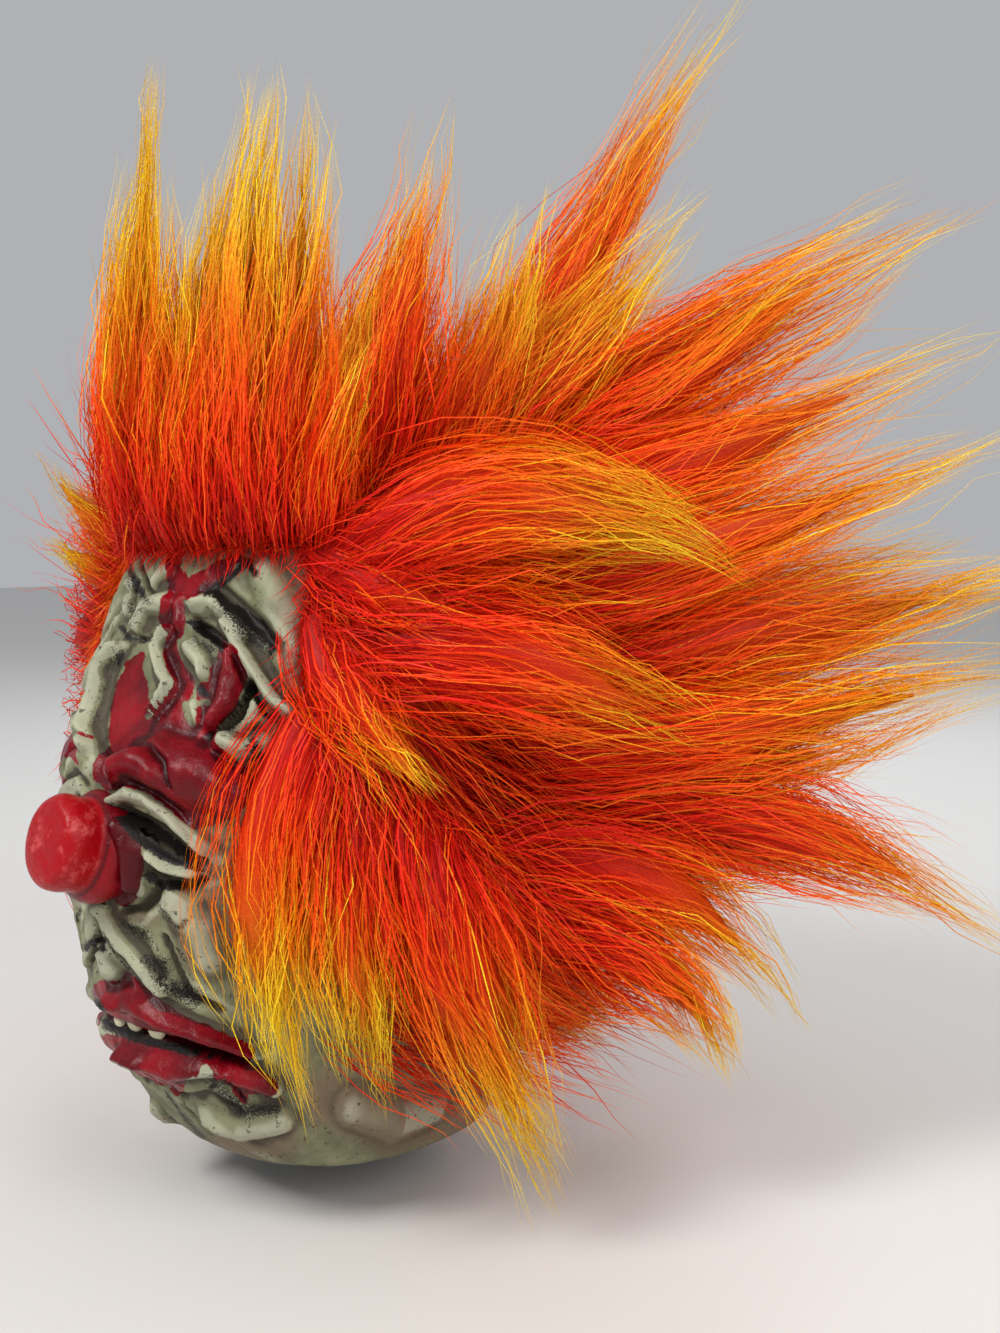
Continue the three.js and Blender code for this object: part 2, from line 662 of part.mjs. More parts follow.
// Fur panels in the order in which they are laid. Each makes room for the ones before it.
function furPanels() {
  const latex = furSeat().add(outerHead(furGap, 0));
  const laid = [];
  const shapes = {};
  for (const name of ['fur_front', 'fur_left', 'fur_right', 'fur_top', 'fur_back']) {
    let panel = wholePanel(name, 0).subtract(latex);
    for (const earlier of laid) {
      panel = panel.subtract(earlier);
    }
    shapes[name] = largestBody(panel);
    laid.push(wholePanel(name, furGap));
  }
  return shapes;
}

function meshFrom(shape, name, material) {
  const { vertProperties, triVerts, numProp } = shape.getMesh();
  const position = new Float32Array(vertProperties.length / numProp * 3);
  for (let i = 0; i < position.length / 3; i += 1) {
    position.set(vertProperties.subarray(i * numProp, i * numProp + 3), i * 3);
  }
  let geometry = new THREE.BufferGeometry();
  geometry.setAttribute('position', new THREE.BufferAttribute(position, 3));
  geometry.setIndex(new THREE.BufferAttribute(new Uint32Array(triVerts), 1));
  geometry = mergeVertices(geometry, 1e-4);
  geometry.computeVertexNormals();
  const mesh = new THREE.Mesh(geometry, material);
  mesh.name = name;
  return mesh;
}

function latexMaterial() {
  return new THREE.MeshStandardMaterial({ color: 0xa9a58e, roughness: 0.5, metalness: 0 });
}

function furMaterial() {
  return new THREE.MeshStandardMaterial({ color: 0xf04a08, roughness: 0.85, metalness: 0 });
}

const mask = new THREE.Group();
mask.name = 'clown_mask';
mask.add(meshFrom(maskSkin(), 'mask_skin', latexMaterial()));
const fur = furMaterial();
for (const [name, shape] of Object.entries(furPanels())) {
  mask.add(meshFrom(shape, name, fur));
}

export default mask;
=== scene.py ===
import math

import bpy
import numpy as np
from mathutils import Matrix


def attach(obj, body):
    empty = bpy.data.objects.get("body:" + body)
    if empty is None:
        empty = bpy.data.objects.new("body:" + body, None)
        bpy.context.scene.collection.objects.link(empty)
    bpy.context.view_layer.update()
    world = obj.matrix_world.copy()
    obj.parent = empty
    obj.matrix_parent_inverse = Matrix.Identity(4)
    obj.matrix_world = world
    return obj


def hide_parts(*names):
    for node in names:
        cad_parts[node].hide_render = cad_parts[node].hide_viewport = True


# A full-head clown's mask of painted latex with a wig of long fake fur.
# Lengths here are in mm, and go into the meshes in metres.

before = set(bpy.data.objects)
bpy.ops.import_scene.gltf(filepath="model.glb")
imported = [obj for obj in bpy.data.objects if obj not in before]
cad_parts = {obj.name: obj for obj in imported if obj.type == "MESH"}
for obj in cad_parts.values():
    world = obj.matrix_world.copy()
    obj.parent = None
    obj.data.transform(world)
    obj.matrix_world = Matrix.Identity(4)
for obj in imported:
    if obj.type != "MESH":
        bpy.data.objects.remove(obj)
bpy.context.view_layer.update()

# Sizes shared with the solids
MASK_HEIGHT = 289.0
HALF_WIDTH = 88.0
FRONT = 116.0
BACK = 114.0
WALL = 2.4
ROUNDNESS = 2.35
NOSE_DIAMETER = 37.0
NOSE_REACH = 25.0
NOSE_TILT = 14.0
NOSE_DOWN = 0.53
FUR_BACKING = 3.5
FLOOR = -312.0

# down, half, front and back, as shares
SECTIONS = np.array([
    (0.000, 0.000, 0.000, 0.000),
    (0.022, 0.455, 0.360, 0.440),
    (0.057, 0.660, 0.517, 0.667),
    (0.119, 0.840, 0.625, 0.842),
    (0.216, 0.955, 0.710, 0.965),
    (0.285, 0.990, 0.776, 0.990),
    (0.337, 1.000, 0.836, 1.000),
    (0.389, 1.000, 0.905, 1.000),
    (0.437, 1.000, 0.966, 0.982),
    (0.493, 0.990, 1.000, 0.965),
    (0.562, 0.966, 0.983, 0.939),
    (0.648, 0.920, 0.957, 0.886),
    (0.718, 0.886, 0.935, 0.851),
    (0.801, 0.852, 0.885, 0.798),
    (0.856, 0.840, 0.835, 0.754),
    (0.908, 0.820, 0.725, 0.719),
    (0.960, 0.785, 0.630, 0.684),
    (1.000, 0.740, 0.530, 0.649),
])

# The camera: where the photograph was taken from
CAMERA_PLACE = np.array([534.4, -458.8, -25.0])
CAMERA_TURN = 43.0
CAMERA_PITCH = 5.1
PHOTO_SIZE = (1000, 1333)
PHOTO_FOCUS = 1600.0  # focal length in pixels of the photograph


def make_camera():
    data = bpy.data.cameras.new("camera")
    data.lens = 36.0 * PHOTO_FOCUS / PHOTO_SIZE[1]
    data.clip_start = 0.01
    camera = bpy.data.objects.new("camera", data)
    camera.location = CAMERA_PLACE / 1000
    camera.rotation_euler = (math.radians(90 - CAMERA_PITCH), 0, math.radians(CAMERA_TURN))
    bpy.context.collection.objects.link(camera)
    bpy.context.scene.camera = camera


def unit(vectors, least=0.0):
    """Each vector at length 1; least keeps one of no length at 0."""
    return vectors / (np.linalg.norm(vectors, axis=-1, keepdims=True) + least)


def full_turn(count):
    return np.linspace(0, 2 * math.pi, count, endpoint=False)


def curve(start, bend, end, t):
    return (1 - t) ** 2 * start + 2 * t * (1 - t) * bend + t ** 2 * end


# The smooth head form

TINY = 1e-9
FINE_DOWN = np.linspace(0, 1, 1201)
LEAST_DOWN = 0.002  # the form comes to a point above this
SMOOTHING = 13.0  # in steps of FINE_DOWN


def smoothed_sections():
    reach = int(2 * SMOOTHING)
    kernel = np.exp(-0.5 * (np.arange(-reach, reach + 1) / SMOOTHING) ** 2)
    kernel /= kernel.sum()
    keep = np.clip((FINE_DOWN - 0.04) / 0.05, 0, 1)
    columns = []
    for column in SECTIONS.T[1:]:
        line = np.interp(FINE_DOWN, SECTIONS[:, 0], column)
        padded = np.concatenate([line[0] - (line[reach:0:-1] - line[0]), line,
                                 2 * line[-1] - line[-2:-reach - 2:-1]])
        smooth = np.convolve(padded, kernel, mode="valid")
        columns.append(line * (1 - keep) + smooth * keep)
    return columns


HALF_LINE, FRONT_LINE, BACK_LINE = smoothed_sections()


def form_radius(side, down):
    """Distance from the head axis to the latex; side in degrees, down as a share of the height."""
    half = HALF_WIDTH * np.interp(down, FINE_DOWN, HALF_LINE)
    front = FRONT * np.interp(down, FINE_DOWN, FRONT_LINE)
    back = BACK * np.interp(down, FINE_DOWN, BACK_LINE)
    across = np.sin(np.radians(side))
    ahead = np.cos(np.radians(side))
    reach = np.where(ahead > 0, front, back)
    total = np.abs(across / half) ** ROUNDNESS + np.abs(ahead / reach) ** ROUNDNESS
    return total ** (-1 / ROUNDNESS)


def form_point(side, down):
    side, down = np.broadcast_arrays(np.asarray(side, float), np.asarray(down, float))
    down = np.maximum(down, LEAST_DOWN)
    radius = form_radius(side, down)
    turn = np.radians(side)
    return np.stack([radius * np.sin(turn), -radius * np.cos(turn), WALL - MASK_HEIGHT * down], -1)


def form_normal(side, down):
    across = form_point(side + 1.0, down) - form_point(side - 1.0, down)
    low = np.minimum(down + 0.008, 1)
    high = np.maximum(down - 0.008, LEAST_DOWN)
    return unit(np.cross(form_point(side, low) - form_point(side, high), across))


def camera_ways():
    """The camera's way to the right, up and ahead."""
    turn, pitch = math.radians(CAMERA_TURN), math.radians(CAMERA_PITCH)
    right = np.array([math.cos(turn), math.sin(turn), 0])
    level = np.array([-math.sin(turn), math.cos(turn), 0])
    ahead = level * math.cos(pitch) + np.array([0, 0, -math.sin(pitch)])
    return right, np.cross(right, ahead), ahead


USUAL_RELIEF = 4.5  # how far over the form the pixels are taken to lie


def places_of_pixels(pixels):
    """Where the photograph's pixels meet the latex: side in degrees and down as a share."""
    pixels = np.asarray(pixels, float)
    right, up, ahead = camera_ways()
    x = (pixels[:, 0] - PHOTO_SIZE[0] / 2) / PHOTO_FOCUS
    y = (pixels[:, 1] - PHOTO_SIZE[1] / 2) / PHOTO_FOCUS
    rays = ahead + x[:, None] * right - y[:, None] * up
    found = np.full((len(pixels), 2), np.nan)
    nearest = np.full(len(pixels), np.inf)
    for t in np.arange(400, 800, 0.5):
        spot = CAMERA_PLACE + rays * t
        side = np.degrees(np.arctan2(spot[:, 0], -spot[:, 1]))
        down = (WALL - spot[:, 2]) / MASK_HEIGHT
        radius = form_radius(side, np.clip(down, LEAST_DOWN, 1.0)) + USUAL_RELIEF
        gap = np.hypot(spot[:, 0], spot[:, 1]) - radius
        better = (gap < nearest) & (nearest > 0)
        nearest = np.where(better, gap, nearest)
        found[better] = np.stack([side, down], 1)[better]
    return found


def pixels_of_points(points):
    """Where points show in the photograph, in pixels across and down."""
    right, up, ahead = camera_ways()
    away = points - CAMERA_PLACE
    depth = away @ ahead
    return (PHOTO_SIZE[0] / 2 + PHOTO_FOCUS * (away @ right) / depth,
            PHOTO_SIZE[1] / 2 - PHOTO_FOCUS * (away @ up) / depth)


# The face, as strokes. Each point is read off the photograph: pixels across, pixels down and half
# width in pixels. True: the same stroke is also made on the far side, which the photograph hides.
# Relief: lift in mm, less than 0 for a crease.
RELIEF = [
    ("temple panel", 4.0, True, [(262, 575, 26), (285, 620, 30), (298, 690, 26)]),
    ("eyebrow band", -3.0, True, [(215, 590, 9), (240, 612, 12), (262, 630, 12), (277, 648, 8)]),
    ("coil ridge", 6.0, False, [(158, 604, 15), (141, 608, 16), (130, 628, 14)]),
    ("coil crease", -3.0, False, [(120, 628, 5), (132, 640, 5), (146, 636, 4)]),
    ("far top fold", 4.0, False, [(160, 570, 14), (148, 582, 12)]),
    ("far top crease", -4.0, False, [(129, 562, 5), (134, 580, 6), (145, 597, 5)]),
    ("far top pad", 4.0, False, [(121, 585, 10), (121, 612, 10)]),
    ("outer far ridge", 9.0, False,
     [(113, 650, 10), (100, 672, 13), (93, 700, 14), (84, 728, 14), (86, 750, 11)]),
    ("far upright ridge", 6.5, False,
     [(160, 632, 9), (151, 650, 10), (158, 674, 11), (165, 686, 9), (148, 716, 5)]),
    ("drip bulge", 2.5, False, [(170, 605, 14), (171, 622, 13)]),
    ("near rounded ridge", 7.5, False,
     [(193, 606, 13), (212, 604, 14), (230, 618, 13), (243, 636, 10)]),
    ("crease under it", -6.0, False, [(189, 624, 6), (204, 633, 8), (220, 644, 5)]),
    ("pale pad", 6.0, False, [(186, 650, 12), (198, 664, 13), (200, 676, 9)]),
    ("fold", 8.0, True, [(226, 630, 8), (242, 655, 10), (257, 682, 12), (272, 705, 12), (290, 716, 9)]),
    ("hook", 6.5, True, [(228, 655, 10), (228, 678, 17), (222, 704, 16), (208, 724, 12)]),
    ("hook crease", -7.5, True,
     [(250, 684, 5), (244, 700, 6), (235, 716, 6), (220, 728, 5), (209, 738, 4)]),
    ("lobe notch", -5.0, True, [(251, 686, 4), (262, 706, 6), (275, 718, 6)]),
    ("lobe stem", 4.0, True, [(252, 704, 8), (250, 722, 12)]),
    ("near lobe", 9.0, True, [(220, 744, 13), (238, 752, 15), (260, 746, 14)]),
    ("island", 2.5, False, [(188, 706, 8), (191, 722, 6)]),
    ("brow mass", 8.0, True, [(122, 770, 24), (150, 764, 32), (198, 780, 36), (240, 800, 28)]),
    ("nose wing", 7.0, True, [(114, 826, 14), (126, 852, 18), (128, 884, 16)]),
    ("brow swirl", 4.0, True, [(112, 778, 16), (135, 768, 20), (152, 782, 14)]),
    ("swirl crease", -2.6, True,
     [(100, 762, 4), (125, 749, 5), (150, 751, 5), (166, 768, 5), (168, 790, 4)]),
    ("lid crease", -3.0, True,
     [(112, 790, 4), (128, 784, 4), (150, 796, 5), (172, 816, 5), (190, 838, 4)]),
    ("upper lid", 5.5, True,
     [(107, 803, 8), (122, 796, 9), (140, 800, 9), (160, 815, 9), (182, 834, 10), (200, 852, 8)]),
    ("eye socket", -9.0, True,
     [(116, 813, 7), (136, 825, 11), (156, 838, 13), (176, 851, 12), (194, 863, 8)]),
    ("lower lid", 5.0, True, [(142, 856, 5), (156, 868, 7), (172, 873, 7), (190, 875, 6)]),
    ("under lid", -4.5, True, [(147, 874, 6), (165, 886, 8), (185, 888, 7), (200, 882, 4)]),
    ("nose crease", -5.0, True, [(152, 884, 5), (148, 900, 6), (134, 912, 6), (116, 912, 5)]),
    ("cheek", 5.0, True, [(170, 908, 20), (195, 930, 26), (205, 960, 22)]),
    ("cheek crack", -1.6, True, [(158, 904, 2.5), (168, 918, 2.5), (177, 929, 2.5), (186, 919, 2.5)]),
    ("muzzle", 5.0, True, [(88, 915, 16), (92, 940, 22), (104, 970, 22)]),
    ("muzzle ridge", 6.0, True,
     [(97, 906, 10), (108, 928, 12), (126, 952, 13), (146, 978, 13), (156, 992, 9)]),
    ("muzzle crease", -3.5, True, [(104, 936, 3), (116, 956, 4), (130, 972, 4), (142, 984, 4)]),
    ("smile crease", -4.0, True, [(158, 940, 5), (168, 968, 6), (185, 998, 6), (215, 1014, 6)]),
    ("far bar groove", -3.0, False, [(78, 912, 3), (73, 934, 3)]),
    ("far bar groove low", -3.0, False, [(104, 934, 3), (86, 948, 4), (102, 950, 3)]),
    ("upper lip", 7.0, True,
     [(108, 1000, 15), (128, 1002, 21), (152, 1016, 17), (180, 1028, 13), (214, 1040, 11),
      (246, 1052, 9)]),
    ("lip peak", 3.0, True, [(130, 978, 9), (136, 992, 10)]),
    ("mouth", -12.0, True,
     [(108, 1027, 5), (130, 1035, 7), (155, 1043, 7), (185, 1050, 6), (215, 1058, 5), (240, 1062, 4)]),
    ("lower lip", 7.0, True,
     [(118, 1050, 9), (138, 1060, 14), (166, 1070, 18), (198, 1068, 14), (222, 1070, 10)]),
    ("mouth corner", 6.5, True, [(232, 1074, 18), (256, 1082, 18), (272, 1090, 12)]),
    ("corner crease", -4.0, True, [(222, 1062, 4), (226, 1084, 5), (238, 1104, 5)]),
    ("chin groove", -3.0, True, [(150, 1088, 6), (175, 1100, 6), (205, 1098, 7), (232, 1112, 7)]),
    ("chin", 5.0, True, [(150, 1108, 15), (166, 1124, 15)]),
    ("chin pad", 6.0, False, [(205, 1116, 20), (235, 1130, 22), (280, 1122, 20)]),
    ("chin crease", -4.0, False, [(166, 1092, 3), (180, 1112, 3.5), (192, 1126, 3.5), (203, 1138, 4)]),
    ("jowl", 5.0, True, [(355, 1110, 30), (400, 1120, 36), (440, 1110, 26)]),
]

# Paint: pale strokes are latex that the red leaves bare.
RED = [
    ("bar right", False, [(238, 558, 4), (222, 568, 9), (205, 580, 10), (186, 590, 10)]),
    ("bar left", False, [(176, 554, 8), (172, 568, 8), (180, 584, 11), (176, 596, 10)]),
    ("bulb", False, [(172, 604, 12), (172, 618, 14), (176, 630, 9)]),
    ("drip", False,
     [(171, 640, 6), (171, 655, 8), (176, 670, 9), (184, 684, 12), (174, 700, 14), (166, 720, 22)]),
    ("drip right", False, [(206, 690, 9), (206, 712, 9), (200, 728, 12)]),
    ("far flame", False,
     [(142, 654, 3), (134, 668, 9), (132, 690, 17), (130, 715, 20), (128, 735, 20)]),
    ("hook", True,
     [(224, 642, 3), (228, 654, 10), (228, 676, 19), (220, 700, 17), (206, 722, 13), (200, 740, 14)]),
    ("brow", True, [(112, 770, 20), (145, 756, 31), (190, 766, 34), (225, 788, 28), (252, 782, 18)]),
    ("brow low", True, [(108, 782, 8), (150, 780, 14), (178, 802, 14), (195, 814, 15), (228, 806, 14)]),
    ("nose wing", True, [(106, 816, 13), (120, 840, 19), (127, 868, 18), (124, 892, 14)]),
    ("upper lip", True,
     [(104, 992, 12), (126, 1002, 24), (150, 1016, 19), (180, 1030, 15), (214, 1042, 13),
      (246, 1052, 9)]),
    ("lip peak", True, [(127, 974, 4), (130, 986, 12)]),
    ("lower lip", True,
     [(108, 1046, 12), (134, 1054, 16), (165, 1066, 20), (194, 1062, 15), (225, 1068, 14)]),
    ("lip drip", True, [(176, 1078, 10), (178, 1090, 6)]),
    ("mouth corner", True, [(232, 1072, 14), (252, 1080, 15), (270, 1088, 9)]),
    ("corner drips", True, [(240, 1090, 8), (244, 1100, 4)]),
]
PALE = [
    ("bar patch", False, [(190, 568, 5), (204, 564, 5)]),
    ("far upright ridge", False,
     [(161, 632, 5), (152, 648, 7), (156, 668, 8), (167, 682, 7), (158, 700, 5), (148, 717, 3)]),
    ("island", False, [(186, 704, 4), (190, 714, 6), (192, 724, 3)]),
    ("island arm", False, [(192, 704, 3), (208, 702, 3)]),
    ("lid", True,
     [(108, 802, 6), (122, 794, 7), (142, 798, 7), (162, 813, 7), (183, 832, 8), (200, 848, 8)]),
    ("muzzle edge", True, [(150, 974, 6), (158, 992, 4)]),
    ("chin patch", True, [(206, 1072, 7), (204, 1090, 11), (190, 1108, 10)]),
]
# Dark paint and dark wash; some strokes are painted shade: in the eye opening, under the lower lid,
# under the nose and on the upper lip's far edge
DARK = [
    ("far top crease", False, [(128, 560, 2), (132, 576, 4), (142, 594, 4)]),
    ("far coil crease", False, [(121, 626, 3), (130, 639, 2.5), (145, 640, 2)]),
    ("far notch", False, [(118, 642, 2), (120, 656, 4), (119, 666, 1)]),
    ("bar edge", False, [(248, 562, 5), (236, 572, 4), (220, 584, 4), (206, 594, 3)]),
    ("bar corner", False, [(244, 560, 4), (256, 574, 4)]),
    ("eyebrow", True,
     [(214, 592, 4), (228, 606, 6), (244, 616, 7), (260, 628, 8), (274, 642, 6), (270, 654, 2)]),
    ("pad crease", False, [(190, 622, 3), (203, 630, 6), (216, 640, 6), (222, 650, 2)]),
    ("hook crease", True,
     [(250, 682, 3), (246, 696, 4), (236, 712, 3), (224, 724, 3), (212, 732, 3), (209, 740, 2)]),
    ("fold end", True, [(252, 684, 3), (258, 698, 4), (263, 708, 3)]),
    ("lobe notch", True, [(262, 712, 3), (272, 720, 4), (284, 722, 2)]),
    ("island corner", False, [(199, 688, 3), (207, 694, 3)]),
    # Painted shade in the eye opening, round the cut eye hole
    ("eye", True,
     [(110, 807, 4), (124, 817, 8), (142, 830, 13), (162, 844, 14), (180, 856, 11), (200, 868, 5)]),
    # Painted shadow under the lower lid
    ("under lid", True, [(146, 874, 4), (165, 885, 5), (188, 885, 5), (202, 878, 4)]),
    ("nose shade", False, [(84, 882, 6), (98, 892, 8), (104, 902, 4)]),
    ("far bar", False, [(79, 910, 2), (73, 934, 2.5)]),
    ("far bars", False, [(101, 933, 3), (85, 948, 3.5)]),
    ("far bar short", False, [(104, 938, 2), (102, 950, 3)]),
    # Painted shade on the upper lip's far edge
    ("lip edge", True, [(97, 1002, 4), (104, 1018, 5), (112, 1028, 5)]),
    ("mouth", True,
     [(108, 1026, 5), (130, 1034, 6), (152, 1042, 5), (182, 1049, 5), (212, 1056, 4), (240, 1062, 2)]),
    ("cheek crack", True, [(158, 904, 0.8), (168, 918, 1.1), (177, 929, 1.4), (186, 919, 1.4)]),
    ("muzzle crack", True, [(106, 938, 0.8), (118, 958, 1.2), (132, 974, 1.4)]),
    ("chin crease", False, [(166, 1092, 0.8), (180, 1112, 1.2), (192, 1126, 1.6), (204, 1140, 3)]),
    ("spot", False, [(204, 1146, 4), (210, 1150, 2)]),
    ("chin spot", False, [(214, 1086, 4)]),
]
# Dry brushing: dark paint that catches only the high grain.
BRUSHED = [
    ("far top", False, [(134, 584, 9), (146, 600, 7)]),
    ("far pad", False, [(132, 604, 6), (128, 620, 6)]),
    ("far ridge", False, [(114, 654, 7), (110, 668, 5), (96, 706, 3), (92, 724, 4)]),
    ("eyebrow", True, [(220, 604, 8), (240, 622, 12), (256, 640, 12), (268, 650, 8)]),
    ("pad edge", False, [(196, 640, 7), (212, 650, 8)]),
    ("fold dot", True, [(271, 672, 3)]),
    ("lobe top", True, [(226, 730, 6), (244, 734, 8)]),
    ("lobe right", True, [(254, 748, 12), (252, 714, 3)]),
    ("ridge tip", False, [(158, 704, 5), (150, 714, 4)]),
    ("muzzle", True, [(122, 922, 7), (140, 932, 9), (150, 942, 7)]),
    ("muzzle low", True, [(146, 958, 8), (160, 966, 13), (162, 985, 10)]),
    ("muzzle dots", False, [(99, 912, 3), (106, 900, 3)]),
    ("cheek dots", True, [(178, 948, 4), (183, 958, 4)]),
    ("cheek low", True, [(176, 990, 14), (196, 998, 12)]),
    ("chin", True, [(212, 1080, 8), (245, 1112, 10), (275, 1108, 10)]),
    ("chin edge", False, [(210, 1146, 6)]),
]
# Warm brown stain.
BROWN = [
    ("temple", True, [(300, 580, 26), (306, 650, 26), (300, 705, 22)]),
    ("hairline", True, [(150, 548, 16), (220, 548, 14), (300, 556, 20)]),
    ("eye side", True, [(215, 850, 18), (215, 890, 16), (205, 925, 14)]),
    ("lid", True, [(112, 800, 7), (140, 800, 7), (165, 816, 7), (196, 846, 8)]),
    ("muzzle", True, [(112, 925, 8), (130, 915, 8), (150, 920, 10)]),
    ("cheek", True, [(175, 905, 14), (200, 960, 16)]),
    ("chin rim", True, [(150, 1122, 10), (200, 1150, 14), (280, 1140, 16)]),
    ("jowl", True, [(330, 1100, 26), (390, 1120, 36), (450, 1110, 30)]),
]
# Painted shade at the nose's root, beside the knob: the red there is darkened
NOSE_ROOT_SHADE = [("nose wing", True, [(104, 816, 14), (122, 842, 20), (128, 868, 19), (124, 894, 15)])]
EYE_HOLE = [
    ("eye hole", True, [(130, 821, 2), (146, 832, 4.5), (162, 843, 5.5), (178, 854, 4), (188, 861, 2)]),
]
PAINTS = {"red": RED, "pale": PALE, "dark": DARK, "brushed": BRUSHED, "brown": BROWN}
NO_PAINT = -6.0  # mm inside the strokes

MM_PER_PIXEL = 0.39
MM_PER_RADIAN = 105.0  # along the latex, for an angle at the head axis
FAR_SIDE_RELIEF = 0.3  # at the face's edge as the photograph shows it
FULL_RELIEF = 0.95
FAR_EDGE = -30.0  # degrees: beyond it the mirrored relief grows to full height
NOSE_ROW = 860  # pixels down: the far side's relief near it is behind the nose
NOSE_ROW_REACH = 30
NOSE_PAINT_ROW = 850
NOSE_PAINT_REACH = 50


def stroke_lines(points, mirrored):
    """The stroke as mm along the latex, with half widths in mm, and its mirrored copy."""
    points = np.asarray(points, float)
    side, down = places_of_pixels(points[:, :2]).T
    line = np.stack([np.radians(side) * MM_PER_RADIAN, down * MASK_HEIGHT,
                     points[:, 2] * MM_PER_PIXEL], 1)
    return [line, line * np.array([-1, 1, 1])] if mirrored else [line]


def distance_and_width(across, along, line):
    """For each place, how far inside the line's edge it is, and distance over half width."""
    best_inside = np.full(across.shape, -1e9)
    best_ratio = np.full(across.shape, 1e9)
    if len(line) == 1:
        line = np.concatenate([line, line + [[0.01, 0, 0]]])
    for (x0, y0, w0), (x1, y1, w1) in zip(line[:-1], line[1:]):
        dx, dy = x1 - x0, y1 - y0
        t = np.clip(((across - x0) * dx + (along - y0) * dy) / (dx * dx + dy * dy + 1e-9), 0, 1)
        distance = np.hypot(across - x0 - t * dx, along - y0 - t * dy)
        width = w0 + t * (w1 - w0)
        best_inside = np.maximum(best_inside, width - distance)
        best_ratio = np.minimum(best_ratio, distance / width)
    return best_inside, best_ratio


def relief_at(side, down):
    across = np.radians(side) * MM_PER_RADIAN
    along = down * MASK_HEIGHT
    height = np.zeros(across.shape)
    past_edge = np.clip((FAR_EDGE - side) / 14, 0, 1)
    far_share = FAR_SIDE_RELIEF + (FULL_RELIEF - FAR_SIDE_RELIEF) * past_edge
    for _, lift, mirrored, points in RELIEF:
        behind_nose = abs(np.mean([y for _, y, _ in points]) - NOSE_ROW) < NOSE_ROW_REACH
        own_share = 1.0 if lift < 0 or behind_nose else far_share
        for share, line in zip((1.0, own_share), stroke_lines(points, mirrored)):
            _, ratio = distance_and_width(across, along, line)
            height += share * lift * np.clip(1 - ratio ** 2, 0, 1) ** 1.6
    return height


def paint_on(points, normals, side, twins, strokes):
    """How far inside the painted strokes each point is, in mm.

    twins are the near side's points across from them: the far side takes their paint where the
    photograph doesn't show it, and behind the nose.
    """
    away = CAMERA_PLACE - points
    facing = (away * normals).sum(1) / np.linalg.norm(away, axis=1)
    hidden = 8.0 * np.clip((facing + 0.05) / 0.13, 0, 1)
    across, along = pixels_of_points(points)
    far_across, far_along = pixels_of_points(twins)
    hidden[np.abs(far_along - NOSE_PAINT_ROW) < NOSE_PAINT_REACH] = 0
    inside = np.full(len(points), NO_PAINT)
    for _, mirrored, pixels in strokes:
        line = np.array(pixels, float)
        near = distance_and_width(across, along, line)[0] * MM_PER_PIXEL
        inside = np.where(facing > 0, np.maximum(inside, near), inside)
        if mirrored:
            far = distance_and_width(far_across, far_along, line)[0] * MM_PER_PIXEL
            inside = np.where(side < 0, np.maximum(inside, far - hidden), inside)
    return np.clip(inside, NO_PAINT, -NO_PAINT)


def soft_noise(points, scale, seed):
    """Smooth noise from a few turned waves, cheap for many points."""
    local = np.random.default_rng(seed)
    total = np.zeros(len(points))
    for _ in range(9):
        wave = local.normal(size=3)
        wave *= 2 * math.pi / scale / np.linalg.norm(wave) * local.uniform(0.6, 1.7)
        total += np.sin(points @ wave + local.uniform(0, 6.28))
    return total / 3.0


class Parts:
    """Points in mm, triangles, the bake map and named values a point, gathered for one piece."""

    def __init__(self, usual):
        self.usual = usual
        self.points, self.faces, self.uv = [], [], []
        self.values = {name: [] for name in usual}
        self.count = 0

    def add(self, points, faces, uv=(0.05, 0.25), **values):
        """Add a part, kept off the floor; a value that isn't given is the usual one."""
        points[:, 2] = np.maximum(points[:, 2], FLOOR + 1.5)
        self.points.append(points)
        self.faces.append(faces + self.count)
        self.uv.append(np.broadcast_to(uv, (len(points), 2)))
        for name, kept in self.values.items():
            kept.append(np.broadcast_to(values.get(name, self.usual[name]), len(points)))
        self.count += len(points)

    def piece(self, name, material, bake_map):
        mesh = bpy.data.meshes.new(name)
        faces = np.concatenate(self.faces).astype(np.int32)
        mesh.vertices.add(self.count)
        mesh.vertices.foreach_set("co", (np.concatenate(self.points) / 1000).astype(np.float32).ravel())
        mesh.loops.add(faces.size)
        mesh.loops.foreach_set("vertex_index", faces.ravel())
        mesh.polygons.add(len(faces))
        mesh.polygons.foreach_set("loop_start", np.arange(0, faces.size, 3, dtype=np.int32))
        mesh.polygons.foreach_set("use_smooth", np.full(len(faces), True))
        mesh.update(calc_edges=True)
        for key, parts in self.values.items():
            layer = mesh.attributes.new(key, "FLOAT", "POINT")
            layer.data.foreach_set("value", np.concatenate(parts).astype(np.float32))
        if bake_map:
            layer = mesh.uv_layers.new(name="OFBake")
            uv = np.concatenate(self.uv).astype(np.float32)
            layer.data.foreach_set("uv", uv[faces.ravel()].ravel())
        mesh.validate()
        mesh.materials.append(material)
        piece = bpy.data.objects.new(name, mesh)
        bpy.context.collection.objects.link(piece)
        return piece


def grid_faces(columns, rows, wrap):
    """Triangles of a grid stored column after column.

    They face out where rows run down and columns to the left side.
    """
    last = columns if wrap else columns - 1
    c, r = np.meshgrid(np.arange(last), np.arange(rows - 1), indexing="ij")
    a = c * rows + r
    b = (c + 1) % columns * rows + r
    quads = np.stack([a, a + 1, b + 1, b], -1).reshape(-1, 4)
    return np.concatenate([quads[:, [0, 1, 2]], quads[:, [0, 2, 3]]])


def capped(points, faces, columns, rows, height, corners=(0, 1, 2)):
    """The grid with a point at the crown and a fan of triangles to it."""
    ring = np.arange(columns) * rows
    fan = np.stack([np.full(columns, len(points)), ring, np.roll(ring, -1)], 1)
    return np.concatenate([points, [[0, 0, height]]]), np.concatenate([faces, fan[:, corners]])


# The latex

FRONT_COLUMNS = 221
INSIDE_COLUMNS = 5  # the inside takes one column in so many
INSIDE_ROWS = 6


